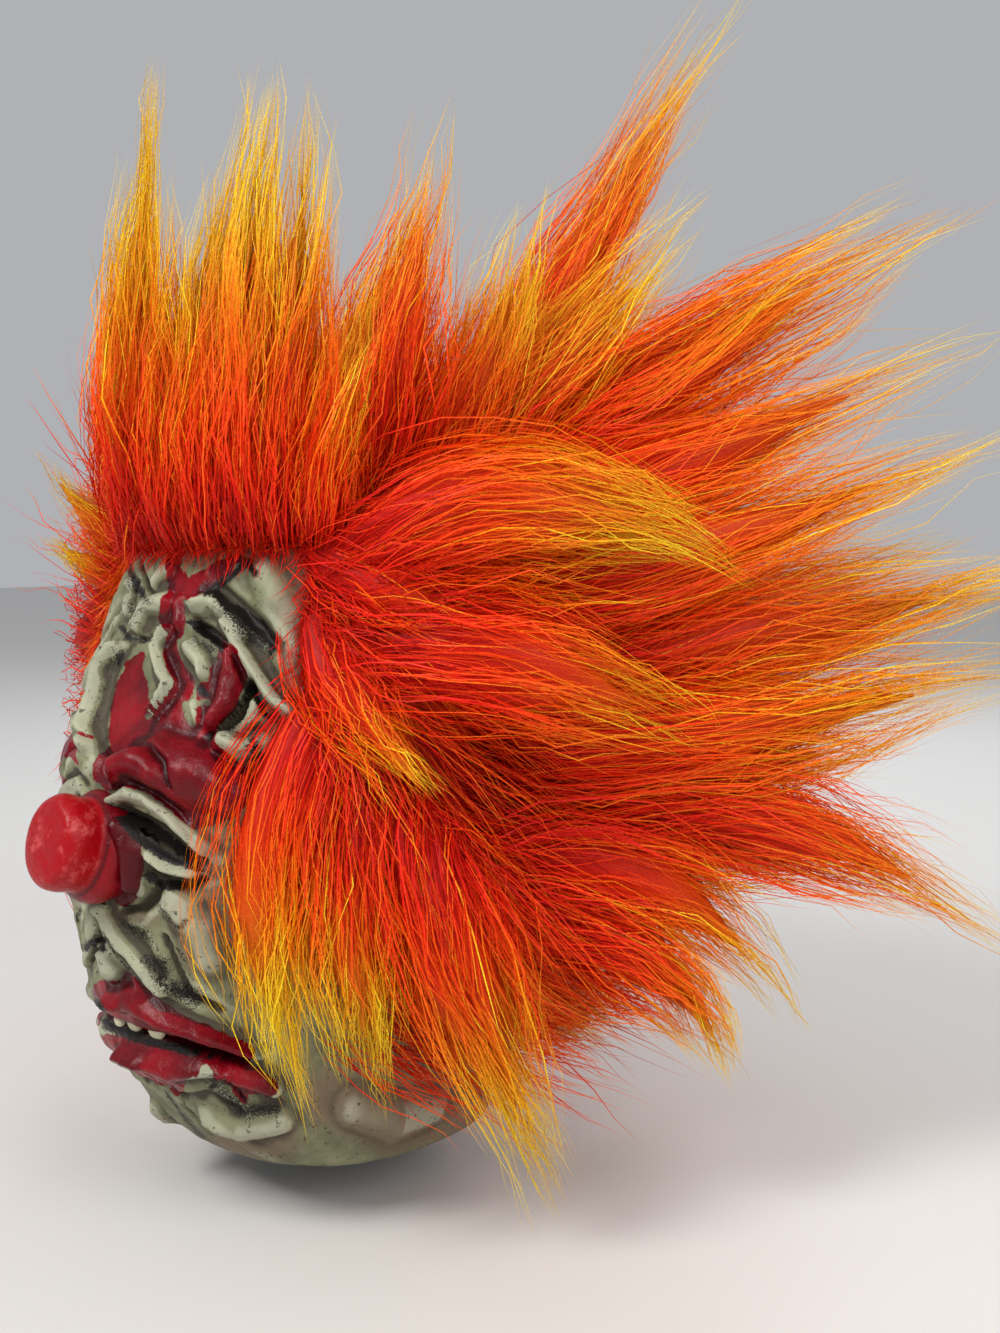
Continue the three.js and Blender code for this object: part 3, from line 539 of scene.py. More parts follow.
def skin_grid():
    """Angles and heights of the grid, fine over the face, with the relief at each crossing."""
    back = np.linspace(75, 285, 32)[1:-1]
    sides = np.concatenate([np.linspace(-75, 75, FRONT_COLUMNS), back])
    downs = np.concatenate([[0.004, 0.014, 0.03, 0.05, 0.075, 0.1],
                            np.linspace(0.115, 0.985, 262), [0.993, 1.0]])
    side, down = np.meshgrid(np.where(sides > 180, sides - 360, sides), downs, indexing="ij")
    face = np.abs(side) < 100
    height = np.zeros(side.shape)
    height[face] = relief_at(side[face], down[face])
    fade = np.clip((1.0 - down) / 0.012, 0, 1) * np.clip((down - 0.1) / 0.02, 0, 1)
    return side, down, height * fade


def lowest_near(height, reach):
    lowest = height.copy()
    for _ in range(reach):
        for axis in (0, 1):
            beside = np.minimum(np.roll(lowest, 1, axis), np.roll(lowest, -1, axis))
            lowest = np.minimum(lowest, beside)
    return lowest


def outer_skin(parts, side, down, height):
    """The outside with its paint; returns how far each crossing is inside an eye hole."""
    flat_side, flat_down = side.ravel(), down.ravel()
    base = form_point(flat_side, flat_down)
    normal = form_normal(flat_side, flat_down)
    front = np.clip((80 - np.abs(flat_side)) / 20, 0, 1)
    ripple = 0.35 * soft_noise(base, 16, 3) + 0.18 * soft_noise(base, 6, 4)
    outer = base + normal * (height.ravel() + ripple * front)[:, None]
    outer[flat_down >= 1, 2] = WALL - MASK_HEIGHT
    twin_height = height.copy()
    twin_height[:FRONT_COLUMNS] = height[:FRONT_COLUMNS][::-1]
    twins = form_normal(-flat_side, flat_down) * twin_height.ravel()[:, None]
    twins = twins + form_point(-flat_side, flat_down)

    def painted(strokes):
        return paint_on(outer, normal, flat_side, twins, strokes)

    values = {name: painted(strokes) for name, strokes in PAINTS.items()}
    hole = painted(EYE_HOLE)
    # Below 0 the nose value marks the painted shade at the nose's root; 1 to 2 is the knob
    values["nose"] = -np.clip((painted(NOSE_ROOT_SHADE) + 1.5) / 3.0, 0, 1)
    # The crest value, how far a crossing stands over its neighbours, darkens the paint in the creases
    # (painted shade) and lightens the latex on the ridges (painted highlight)
    beside = ((5, 0), (-5, 0), (6, 1), (-6, 1))
    around = sum(np.roll(height, step, axis) for step, axis in beside) / 4
    values["crest"] = np.clip(height - around, -4, 4).ravel()
    values = {name: np.append(data, 0.0) for name, data in values.items()}
    faces = grid_faces(*side.shape, True)
    faces = faces[(hole[faces] < 0).any(1)]
    parts.add(*capped(outer, faces, *side.shape, WALL), **values)
    return hole.reshape(side.shape)


def inner_skin(parts, side, down, height, hole):
    """The plain inside of the latex, and the rim that joins it to the outside."""
    columns, rows = side.shape
    pick_side = np.concatenate([np.arange(0, FRONT_COLUMNS, INSIDE_COLUMNS),
                                np.arange(FRONT_COLUMNS, columns, 2)])
    pick_down = np.concatenate([np.arange(0, rows - 1, INSIDE_ROWS), [rows - 1]])
    picked = np.ix_(pick_side, pick_down)
    low = np.minimum(lowest_near(height, INSIDE_ROWS)[picked].ravel(), 0)
    side, down, hole = side[picked].ravel(), down[picked].ravel(), hole[picked].ravel()
    inner = form_point(side, down) + form_normal(side, down) * (low - WALL)[:, None]
    inner[down >= 1, 2] = WALL - MASK_HEIGHT
    grid = (len(pick_side), len(pick_down))
    faces = grid_faces(*grid, True)[:, ::-1]
    faces = faces[(hole[faces] < 0.5).all(1)]
    start = parts.count
    parts.add(*capped(inner, faces, *grid, 0.0, (0, 2, 1)), brown=3.0)

    out_rim = np.arange(columns) * rows + rows - 1
    in_rim = start + np.arange(grid[0]) * grid[1] + grid[1] - 1
    rim = []
    for i, first in enumerate(pick_side):
        following = pick_side[i + 1] if i + 1 < grid[0] else columns
        for k in range(first, following):
            rim.append((out_rim[k], in_rim[i], out_rim[(k + 1) % columns]))
        rim.append((in_rim[i], in_rim[(i + 1) % grid[0]], out_rim[following % columns]))
    parts.faces.append(np.array(rim))


# Along the nose as shares of its reach, and radius as shares of its diameter
NOSE_PROFILE = [
    (-0.60, 0.46), (-0.30, 0.53), (-0.08, 0.59), (0.08, 0.608), (0.20, 0.600), (0.30, 0.555),
    (0.36, 0.505), (0.40, 0.480), (0.45, 0.485), (0.52, 0.500), (0.62, 0.508), (0.76, 0.506),
    (0.87, 0.490), (0.95, 0.450), (0.985, 0.395), (1.00, 0.31), (1.005, 0.18), (1.01, 0.004),
]
NOSE_ROWS = 52
NOSE_AROUND = 72
NOSE_NARROWER = 0.88  # from side to side


def add_nose(parts):
    """The turned nose: a knob with a wider root."""
    profile = np.array(NOSE_PROFILE)
    steps = np.hypot(np.diff(profile[:, 0]) * NOSE_REACH, np.diff(profile[:, 1]) * NOSE_DIAMETER)
    lengths = np.concatenate([[0], np.cumsum(steps)])
    spots = np.linspace(0, lengths[-1], NOSE_ROWS)
    out = np.interp(spots, lengths, profile[:, 0])
    wide = np.interp(spots, lengths, profile[:, 1])
    for _ in range(2):
        wide[1:-1] = (wide[:-2] + 2 * wide[1:-1] + wide[2:]) / 4
    tilt = math.radians(NOSE_TILT)
    axis = np.array([0, -math.cos(tilt), math.sin(tilt)])
    up = np.array([0, math.sin(tilt), math.cos(tilt)])
    turn = full_turn(NOSE_AROUND)[:, None, None]
    radius = np.maximum(wide * NOSE_DIAMETER, 0.05)[None, :, None]
    round_it = np.cos(turn) * up + np.sin(turn) * np.array([NOSE_NARROWER, 0, 0])
    points = form_point(0.0, NOSE_DOWN) + (out * NOSE_REACH)[None, :, None] * axis + radius * round_it
    points = points.reshape(-1, 3)
    points = points + 0.35 * soft_noise(points, 13, 8)[:, None] * np.array([0.7, -0.4, 0.6])
    out = np.tile(out, NOSE_AROUND)
    # The crest value at the knob's neck darkens the red there: painted shade in that crease
    parts.add(points, grid_faces(NOSE_AROUND, NOSE_ROWS, True)[:, ::-1], red=6.0,
              nose=np.clip((out - 0.30) / 0.12, 0, 1) + 1,
              crest=np.where(np.abs(out - 0.40) < 0.08, -3.0, 0.0))


# Pixel of the middle, width and height
TEETH = [((118, 1030), 8.0, 7.0), ((142, 1037), 8.5, 8.5), ((103, 1028), 7.0, 6.0)]
TOOTH_DEPTH = 4.0
TOOTH_SET_BACK = 3.6


def tooth_block(pixel, wide, tall):
    """A rounded tooth standing in the mouth."""
    side, down = places_of_pixels([pixel])[0]
    out = form_normal(side, down)
    across = unit(np.cross([0, 0, 1.0], out))
    up = np.cross(out, across)
    around, rows = 16, 9
    turn, rise = np.meshgrid(full_turn(around), np.linspace(-1, 1, rows), indexing="ij")

    def rounded(share):
        return np.sign(share) * np.abs(share) ** 0.7 / 2 * (1 - np.abs(rise) ** 3.2) ** 0.5

    x = rounded(np.cos(turn)) * wide * (1 + 0.12 * rise)
    y = rounded(np.sin(turn)) * TOOTH_DEPTH - TOOTH_SET_BACK
    z = rise * tall / 2
    points = form_point(side, down) + across * x[..., None] + out * y[..., None] + up * z[..., None]
    return points.reshape(-1, 3), grid_faces(around, rows, True)[:, ::-1]


def make_skin():
    parts = Parts({**dict.fromkeys(PAINTS, NO_PAINT), "crest": 0.0, "tooth": 0.0, "nose": 0.0})
    grid = skin_grid()
    hole = outer_skin(parts, *grid)
    inner_skin(parts, *grid, hole)
    add_nose(parts)
    for tooth in TEETH:
        parts.add(*tooth_block(*tooth), tooth=1.0)
    skin = parts.piece("latex_skin", latex_material(), False)
    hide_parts("mask_skin")
    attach(skin, "root")


class Look:
    """A material, with short calls for its nodes."""

    def __init__(self, name):
        self.material = bpy.data.materials.new(name)
        self.material.use_nodes = True
        self.shader = self.material.node_tree.nodes["Principled BSDF"]

    def feed(self, socket, value):
        """Set a socket to a number, a colour or another node's output."""
        if isinstance(value, tuple):
            socket.default_value = (*value, 1.0)
        elif isinstance(value, (int, float)):
            socket.default_value = value
        else:
            self.material.node_tree.links.new(value, socket)

    def put(self, node, **values):
        """Feed sockets by name, with _ for a space."""
        for name, value in values.items():
            self.feed(node.inputs[name.replace("_", " ")], value)

    def new(self, kind, **settings):
        node = self.material.node_tree.nodes.new("ShaderNode" + kind)
        for name, value in settings.items():
            setattr(node, name, value)
        return node

    def value(self, name):
        return self.new("Attribute", attribute_name=name).outputs["Fac"]

    def noise(self, scale, detail, rough=0.6, distort=0.0):
        node = self.new("TexNoise")
        self.put(node, Scale=scale, Detail=detail, Roughness=rough, Distortion=distort,
                 Vector=self.new("TexCoord").outputs["Object"])
        return node.outputs["Fac"]

    def math(self, kind, first, second):
        node = self.new("Math", operation=kind)
        self.feed(node.inputs[0], first)
        self.feed(node.inputs[1], second)
        return node.outputs[0]

    def around_zero(self, value, size):
        """Noise, which runs from 0 to 1, moved to either side of 0 and scaled."""
        return self.math("MULTIPLY", self.math("SUBTRACT", value, 0.5), size)

    def ranged(self, value, low, high, to_low=0.0, to_high=1.0):
        node = self.new("MapRange", interpolation_type="SMOOTHSTEP")
        self.put(node, Value=value, From_Min=low, From_Max=high, To_Min=to_low, To_Max=to_high)
        return node.outputs["Result"]

    def mixed(self, factor, first, second, blend="MIX"):
        node = self.new("Mix", data_type="RGBA", blend_type=blend)
        for number, value in ((0, factor), (6, first), (7, second)):
            self.feed(node.inputs[number], value)
        return node.outputs[2]

    def tinted(self, colour, tint, value, low, high, to_low=0.0, to_high=1.0):
        """The colour, taken over by the tint as the value runs from low to high."""
        return self.mixed(self.ranged(value, low, high, to_low, to_high), colour, tint)

    def bumped(self, height, strength, distance, **after):
        node = self.new("Bump")
        self.put(node, Strength=strength, Distance=distance, Height=height, **after)
        return node.outputs["Normal"]


def latex_material():
    look = Look("painted_latex_look")
    tinted = look.tinted
    grain = look.noise(620, 5, 0.7)
    blotch = look.noise(42, 5, 0.6)
    wobble = look.around_zero(look.noise(260, 4, 0.65), 3.2)
    crest = look.value("crest")
    nose = look.value("nose")

    # Aged latex: greenish grey, with brown stain and specks; painted shade darkens its creases and a
    # painted highlight lightens its ridges
    base = tinted((0.12, 0.125, 0.066), (0.27, 0.275, 0.160), blotch, 0.3, 0.7)
    brown_in = look.math("ADD", look.value("brown"), look.around_zero(look.noise(14, 3, 0.5), 10.0))
    base = tinted(base, (0.20, 0.145, 0.095), brown_in, -5.0, 5.0, 0.0, 0.85)
    # Painted shade in the creases
    base = tinted(base, (0.055, 0.042, 0.030), crest, -1.6, 0.0, 0.88, 0.0)
    # Painted highlight on the ridges
    base = tinted(base, (0.50, 0.52, 0.39), crest, 0.2, 1.8, 0.0, 0.55)
    base = tinted(base, (0.07, 0.055, 0.035), look.noise(330, 3, 0.75), 0.61, 0.65, 0.0, 0.85)

    # Thick crimson paint: darker in its creases and at the nose's root as painted shade, and with pale
    # flecks on the knob that are partly scuffs and partly a painted highlight
    red = tinted((0.105, 0.0006, 0.004), (0.27, 0.002, 0.009), blotch, 0.32, 0.68)
    # Painted shade: the red is darker in the creases
    red = tinted(red, (0.03, 0.0008, 0.003), crest, -1.6, 0.0, 0.85, 0.0)
    red = tinted(red, (0.36, 0.0022, 0.006), nose, 1.0, 2.0, 0.0, 0.9)
    # Painted shade at the nose's root
    red = tinted(red, (0.06, 0.0004, 0.003), nose, -1.0, 0.0, 0.9, 0.0)
    # Pale flecks on the knob: partly worn paint, partly a painted highlight
    scuff_and_highlight = look.math("MULTIPLY", look.ranged(look.noise(110, 5, 0.7), 0.54, 0.66),
                      look.ranged(nose, 1.4, 2.0, 0.0, 0.55))
    red = look.mixed(scuff_and_highlight, red, (0.62, 0.09, 0.085))
    red_mask = look.ranged(look.math("ADD", look.value("red"), wobble), -0.25, 0.25)
    pale_mask = look.ranged(look.math("ADD", look.value("pale"), wobble), -0.25, 0.25)
    red_mask = look.math("MULTIPLY", red_mask, look.math("SUBTRACT", 1.0, pale_mask))
    colour = look.mixed(red_mask, base, red)

    # Dark wash, dark paint and dry brushing; the dark strokes also hold painted shade in the eye
    # opening, under the lower lid, under the nose and on the upper lip's far edge
    scratch = look.noise(900, 3, 0.8, 1.5)
    broken = look.math("ADD", wobble, look.around_zero(scratch, 5.0))
    dark_mask = look.ranged(look.math("ADD", look.value("dark"), broken), -0.35, 0.35)
    brush_in = look.math("ADD", look.math("MULTIPLY", look.value("brushed"), 0.045), scratch)
    dark = look.math("MAXIMUM", dark_mask, look.ranged(brush_in, 0.56, 0.62))
    colour = look.mixed(dark, colour, (0.008, 0.006, 0.006))
    colour = look.mixed(look.value("tooth"), colour, (0.62, 0.57, 0.40))

    # Glossy paint on dull latex; wrinkles, the paint's edge and pores
    rough = look.mixed(red_mask, (0.52,) * 3, (0.22,) * 3)
    rough = look.mixed(dark, rough, (0.45,) * 3)
    rough = tinted(rough, (0.65,) * 3, grain, 0.3, 0.7, 0.0, 0.25)
    normal = look.bumped(look.noise(150, 6, 0.62, 0.6), 0.5, 0.0016)
    normal = look.bumped(red_mask, 0.5, 0.0004, Normal=normal)
    normal = look.bumped(look.noise(1100, 3, 0.6), 0.25, 0.0004, Normal=normal)
    look.put(look.shader, Base_Color=colour, Roughness=rough, Specular_IOR_Level=0.22, Normal=normal)
    return look.material


# The fur

def lock(side, down, tip, rise, wide, thick, bow=(0, 0, 0), gold=0.0, late=1.0):
    """A lock of fur: root, tip and bow as shares of the height; gold and late only colour it."""
    return {"side": side, "down": down, "tip": np.array(tip) * MASK_HEIGHT, "rise": rise,
            "wide": wide * MASK_HEIGHT, "thick": thick * MASK_HEIGHT,
            "bow": np.array(bow) * MASK_HEIGHT, "gold": gold, "late": late}


FRONT_LOCKS = [
    lock(-38, 0.105, (-0.15, -0.21, 0.36), 0.14, 0.130, 0.090,
         bow=(0.06, -0.02, 0.05), late=1.2, gold=0.4),
    lock(-24, 0.112, (-0.06, -0.31, 0.23), 0.18, 0.130, 0.090,
         bow=(0.08, -0.02, 0.06), late=1.0, gold=0.5),
    lock(-10, 0.108, (0.03, -0.30, 0.50), 0.14, 0.170, 0.110, late=1.5, gold=0.45),
    lock(8, 0.112, (0.10, -0.26, 0.36), 0.14, 0.160, 0.110, late=1.55, gold=0.35),
    lock(22, 0.108, (0.15, -0.22, 0.48), 0.14, 0.160, 0.110, late=1.55, gold=0.35),
    lock(36, 0.108, (0.19, -0.17, 0.48), 0.14, 0.150, 0.110, late=1.6, gold=0.3),
    lock(46, 0.112, (0.26, -0.12, 0.27), 0.18, 0.130, 0.090, gold=0.1),
]
TOP_LOCKS = [
    lock(62, 0.060, (0.27, 0.00, 0.46), 0.28, 0.140, 0.110, late=1.6),
    lock(92, 0.070, (0.33, 0.12, 0.38), 0.28, 0.130, 0.100, gold=0.3),
    lock(140, 0.045, (0.44, 0.41, 0.68), 0.22, 0.180, 0.130, late=1.4),
    lock(108, 0.060, (0.47, 0.34, 0.37), 0.22, 0.150, 0.110, gold=0.2),
    lock(124, 0.085, (0.69, 0.64, 0.38), 0.22, 0.200, 0.130, late=1.3),
    lock(172, 0.060, (0.20, 0.46, 0.43), 0.25, 0.180, 0.130),
    lock(222, 0.055, (-0.30, 0.52, 0.52), 0.22, 0.170, 0.130),
    lock(240, 0.085, (-0.62, 0.62, 0.30), 0.22, 0.180, 0.130),
    lock(278, 0.065, (-0.37, 0.12, 0.30), 0.28, 0.160, 0.110),
]
SIDE_LOCKS = [
    lock(104, 0.140, (0.73, 0.68, 0.19), 0.25, 0.160, 0.120, late=1.4),
    lock(98, 0.230, (0.79, 0.64, 0.05), 0.25, 0.180, 0.130, late=1.2),
    lock(110, 0.320, (0.84, 0.76, -0.14), 0.25, 0.200, 0.130, late=1.3, gold=0.15),
    lock(100, 0.410, (0.86, 0.71, -0.29), 0.25, 0.190, 0.130, late=1.3, gold=0.15),
    lock(108, 0.470, (0.67, 0.57, -0.42), 0.25, 0.160, 0.110, bow=(0.06, 0.12, 0.04), late=1.5),
    lock(98, 0.530, (0.82, 0.65, -0.72), 0.25, 0.180, 0.120, bow=(0.08, 0.17, 0.18), late=1.7),
    lock(90, 0.580, (0.62, 0.37, -0.80), 0.25, 0.170, 0.110,
         bow=(0.10, 0.12, 0.12), late=1.6, gold=0.2),
    lock(106, 0.760, (0.38, 0.27, -0.86), 0.30, 0.130, 0.080, late=1.6),
    lock(56, 0.160, (0.61, 0.23, -0.15), 0.20, 0.190, 0.110, bow=(0.18, 0.09, 0.14), gold=0.25),
    lock(58, 0.270, (0.59, 0.17, -0.37), 0.20, 0.190, 0.110, bow=(0.15, 0.06, 0.02), late=1.7),
]
LEFT_ONLY = [
    lock(72, 0.470, (0.45, 0.05, -1.04), 0.18, 0.170, 0.110,
         bow=(0.05, -0.15, -0.10), late=1.9, gold=0.7),
    lock(84, 0.640, (0.59, 0.25, -0.89), 0.25, 0.120, 0.080,
         bow=(0.18, 0.19, 0.04), late=1.8, gold=0.5),
    lock(52, 0.330, (0.285, -0.28, -0.86), 0.20, 0.155, 0.090,
         bow=(-0.10, -0.14, -0.22), late=1.1, gold=0.7),
    lock(58, 0.420, (0.325, -0.19, -0.86), 0.20, 0.160, 0.090,
         bow=(-0.02, -0.07, -0.18), late=1.2, gold=0.7),
    lock(50, 0.130, (0.48, -0.08, -0.25), 0.20, 0.130, 0.070, bow=(0.07, 0.03, -0.07), late=1.8),
    lock(50, 0.225, (0.42, -0.16, -0.44), 0.20, 0.130, 0.070, bow=(0.01, -0.01, -0.10), late=1.8),
]
RIGHT_ONLY = [
    lock(-56, 0.140, (-0.34, -0.28, 0.02), 0.35, 0.080, 0.060, late=0.8, gold=0.5),
    lock(-58, 0.200, (-0.34, -0.26, -0.10), 0.35, 0.080, 0.060, late=0.8, gold=0.5),
    lock(-56, 0.450, (-0.42, 0.08, -0.76), 0.25, 0.130, 0.080, gold=0.4),
    lock(-72, 0.470, (-0.45, 0.07, -1.04), 0.18, 0.170, 0.110,
         bow=(-0.05, -0.07, -0.10), late=1.9, gold=0.7),
]
# Down, angles off the back, reach and height of the tips, and width
BACK_ROWS = [
    (0.160, (-22, 22), 1.00, 0.10, 0.180),
    (0.290, (-38, 0, 38), 1.06, -0.12, 0.190),
    (0.430, (-22, 22), 1.04, -0.36, 0.190),
    (0.560, (-38, 0, 38), 0.94, -0.64, 0.180),
    (0.700, (-20, 20), 0.72, -0.92, 0.170),
]
# Each panel's angles, and its upper and lower edge
PANELS = {
    "fur_front": ((-47, 47), (0.060, 0.125)),
    "fur_top": ((-180, 180), (0.0, 0.115)),
    "fur_left": ((46, 129), (0.100, 0.830)),
    "fur_right": ((-129, -46), (0.100, 0.830)),
    "fur_back": ((128, 232), (0.100, 0.830)),
}


def mirrored(one):
    flip = np.array([-1, 1, 1])
    return dict(one, side=-one["side"], tip=one["tip"] * flip, bow=one["bow"] * flip)


def back_locks():
    locks = []
    for down, sides, reach, height, wide in BACK_ROWS:
        for turn in sides:
            heading = math.radians(180 + turn * 0.9)
            tip = (reach * math.sin(heading), -reach * math.cos(heading), height)
            locks.append(lock(180 + turn, down, tip, 0.25, wide, 0.12, gold=0.1))
    return locks


LOCKS = {
    "fur_front": FRONT_LOCKS,
    "fur_top": TOP_LOCKS,
    "fur_left": SIDE_LOCKS + LEFT_ONLY,
    "fur_right": [mirrored(one) for one in SIDE_LOCKS] + RIGHT_ONLY,
    "fur_back": back_locks(),
}

RING_ALONG = np.array([0.0, 0.28, 0.62, 0.87, 1.0])
RING_SIZE = np.array([0.80, 1.0, 0.92, 0.58, 0.12])
CORE_SHARE = 0.66  # of the lock's width

STEPS = 7  # points along a strand
STRANDS = {"fur_front": 15000, "fur_top": 15000, "fur_left": 16800, "fur_right": 12500,
           "fur_back": 13000}
FRINGE = {"fur_front": 1100, "fur_left": 700, "fur_right": 700}
# Shares of the strands
BRIDGE_SHARE = 0.26
LOW_SHARE = 0.16
LOW_SHARE_TOP = 0.26
LOOSE_SHARE = 0.14
# The bright strands are painted highlights: lighter, more golden and less shaded
BRIGHT_SHARE = 0.13
BRIGHTER = 0.30  # how far the bright ones are moved towards gold
# Locks are bridged where neither their roots nor their tips are further apart than this
BRIDGED_ROOTS = 75
BRIDGED_TIPS = 130
GOLDEN_ANGLE = 2.39996
EDGE_ANGLE = 46  # where the side panels begin


def root_of(one):
    return form_point(one["side"], one["down"])


def hue_of(t, one):
    """How far along the colours, from deep red to gold, a point of the lock is."""
    t = np.clip(t, 0, 1)
    return 1.0 * t ** one["late"] + 0.5 * one["gold"] * np.clip((t - 0.25) / 0.6, 0, 1)


def lock_frame(one, t):
    """A lock's middle line at each t, its way on, its wide and thin ways, and its length."""
    normal = form_normal(one["side"], one["down"])
    root = root_of(one) + normal * FUR_BACKING * 0.5
    length = np.linalg.norm(one["tip"] - root)
    bend = root + normal * one["rise"] * length + one["bow"]
    t = np.asarray(t, float)[..., None]
    tangent = unit(2 * (1 - t) * (bend - root) + 2 * t * (one["tip"] - bend))
    across = unit(np.cross(tangent, np.broadcast_to(normal, tangent.shape)), TINY)
    return curve(root, bend, one["tip"], t), tangent, across, np.cross(across, tangent), length


def waves(t, count, amounts, local):
    """Sideways wander of many lines at once: amounts holds pairs of turns and size."""
    total = 0.0
    for turns, size in amounts:
        phase = local.uniform(0, 2 * math.pi, count)[:, None]
        pace = turns * local.uniform(0.7, 1.35, count)[:, None]
        height = size * np.clip(local.normal(0, 1, count), -1.5, 1.5)[:, None]
        wave = np.sin(2 * math.pi * pace * t + phase) - np.sin(phase)
        total = total + height * wave * np.clip(t * 2.0, 0, 1)
    return total


def shared_waves(t, which, clumps, local):
    """The wander that all strands of a clump have in common, read off a table along the lock."""
    last = 39
    table = waves(np.linspace(0, 1, last + 1)[None, :], clumps, ((1.0, 0.022), (2.6, 0.010)), local)
    place = np.clip(t, 0, 1) * last
    low = np.floor(place).astype(int)
    part = place - low
    which = which[:, None]
    return table[which, low] * (1 - part) + table[which, np.minimum(low + 1, last)] * part


def stations(start, finish):
    return start[:, None] + (finish - start)[:, None] * np.linspace(0, 1, STEPS)[None, :]


def spots_in_disc(count, local):
    turn = local.uniform(0, 2 * math.pi, count)
    away = np.sqrt(local.uniform(0, 1, count))
    return (away * np.cos(turn))[:, None], (away * np.sin(turn))[:, None]


def lock_strands(one, count, local):
    """Middle lines of one lock's strands, gathered in clumps.

    Also their place along it, outward way, radius and tone.
    """
    clumps = max(7, int(one["wide"] * one["thick"] / 55))
    number = np.arange(clumps)
    clump_angle = number * GOLDEN_ANGLE + local.uniform(0, 6.28)
    clump_out = np.sqrt((number + 0.5) / clumps) * 0.92
    clump_end = np.clip(1.05 - 0.26 * clump_out + local.normal(0, 0.07, clumps), 0.62, 1.05)
    clump_tone = local.normal(0, 1, clumps)
    which = local.integers(0, clumps, count)
    loose = local.uniform(size=count) < LOOSE_SHARE
    span = local.uniform(0.40, 0.70, count)
    finish = clump_end[which] * (1 - 0.55 * local.uniform(0, 1, count) ** 1.8)
    start = np.maximum(finish - span, 0)
    t = stations(start, np.where(loose, finish + 0.03, finish))
    middle, tangent, across, through, length = lock_frame(one, np.clip(t, 0, 1))
    middle = middle + tangent * (np.clip(t - 1, 0, None) * length)[..., None]
    size = np.interp(t, [0, 0.28, 0.62, 0.87, 1.08], [0.80, 1.0, 0.95, 0.72, 0.46])
    reach = np.interp(t / clump_end[which][:, None], [0, 0.5, 0.85, 1.0], [0.34, 0.30, 0.17, 0.05])
    reach = reach * np.where(loose, 2.3, 1.0)[:, None]
    u, v = spots_in_disc(count, local)
    u = (clump_out * np.cos(clump_angle))[which][:, None] + u * reach
    v = (clump_out * np.sin(clump_angle))[which][:, None] + v * reach
    points = middle + across * (u * size * one["wide"] / 2)[..., None]
    points = points + through * (v * size * one["thick"] / 2)[..., None]
    stray = np.where(loose, 2.2, 1.0)[:, None]
    for way in (across, through):
        own = np.random.default_rng(local.integers(1 << 30))
        wander = shared_waves(t, which, clumps, own)
        wander = wander + waves(t, count, ((1.4, 0.007), (4.6, 0.0055)), own) * stray
        points = points + way * (wander * length)[..., None]
    points = points + local.normal(0, 1.25, points.shape) * np.clip(t * 2, 0.2, 1)[..., None]
    outward = across * (u * one["thick"])[..., None] + through * (v * one["wide"])[..., None]
    radius = np.clip(np.hypot(u, v), 0, 1)
    tone = clump_tone[which] * 0.55 + local.normal(0, 0.6, count)
    return points, t, outward, radius, tone[:, None]


def baked(hue, shade, share):
    """The bake map for a hue and a shade, kept off its edges."""
    return np.stack([np.clip(hue, 0, 1) * share + 0.02, np.clip(shade, 0, 1) * share + 0.02], -1)


def ribbons(points, outward, width, hue, shade, local):
    """Thin tapering ribbons along the strands, turned to face outward.

    Returns points, triangles and the bake map.
    """
    count = len(points)
    tangent = unit(np.gradient(points, axis=1), TINY)
    facing = unit(outward, 1e-6) + local.normal(size=(count, 1, 3)) * 0.75
    taper = np.interp(np.linspace(0, 1, STEPS), [0, 0.2, 0.7, 1.0], [0.5, 1.0, 0.75, 0.1])
    half = unit(np.cross(tangent, facing), TINY) * (width[:, None] * taper[None, :] / 2)[..., None]
    body = STEPS - 1
    pairs = np.stack([points[:, :body] - half[:, :body], points[:, :body] + half[:, :body]], 2)
    verts = np.concatenate([pairs.reshape(count, -1, 3), points[:, -1:]], 1)
    k = 2 * np.arange(body - 1)
    faces = np.concatenate([np.stack([k, k + 1, k + 3], 1), np.stack([k, k + 3, k + 2], 1),
                            [[2 * body - 2, 2 * body - 1, 2 * body]]])
    faces = (faces[None] + (np.arange(count) * (2 * body + 1))[:, None, None]).reshape(-1, 3)
    uv = baked(*np.broadcast_arrays(hue, shade), 0.96)
    uv = np.concatenate([np.repeat(uv[:, :body], 2, axis=1), uv[:, -1:]], 1)
    return verts.reshape(-1, 3), faces, uv.reshape(-1, 2)


def lock_core(one, local):
    """A body inside the lock, so that no light shows between the strands."""
    around, rows = 12, 10
    t = np.linspace(0.0, 0.80, rows)
    middle, _, across, through, _ = lock_frame(one, t)
    taper = np.clip((0.82 - t) / 0.30, 0.02, 1)
    size = np.interp(t, RING_ALONG, RING_SIZE) * CORE_SHARE * taper / 2
    size = size * (1 + local.uniform(-0.12, 0.12, (around, 1)))
    turn = full_turn(around)[:, None]
    points = (middle[None] + across[None] * (np.cos(turn) * one["wide"] * size)[..., None]
              + through[None] * (np.sin(turn) * one["thick"] * size)[..., None])
    hue = hue_of(np.tile(t, around), one)
    # The core is painted in shade, at a low shade value
    uv = np.stack([np.clip(hue, 0, 1) * 0.9 + 0.02, np.full(hue.shape, 0.30)], -1)
    return points.reshape(-1, 3), grid_faces(around, rows, True)[:, ::-1], uv


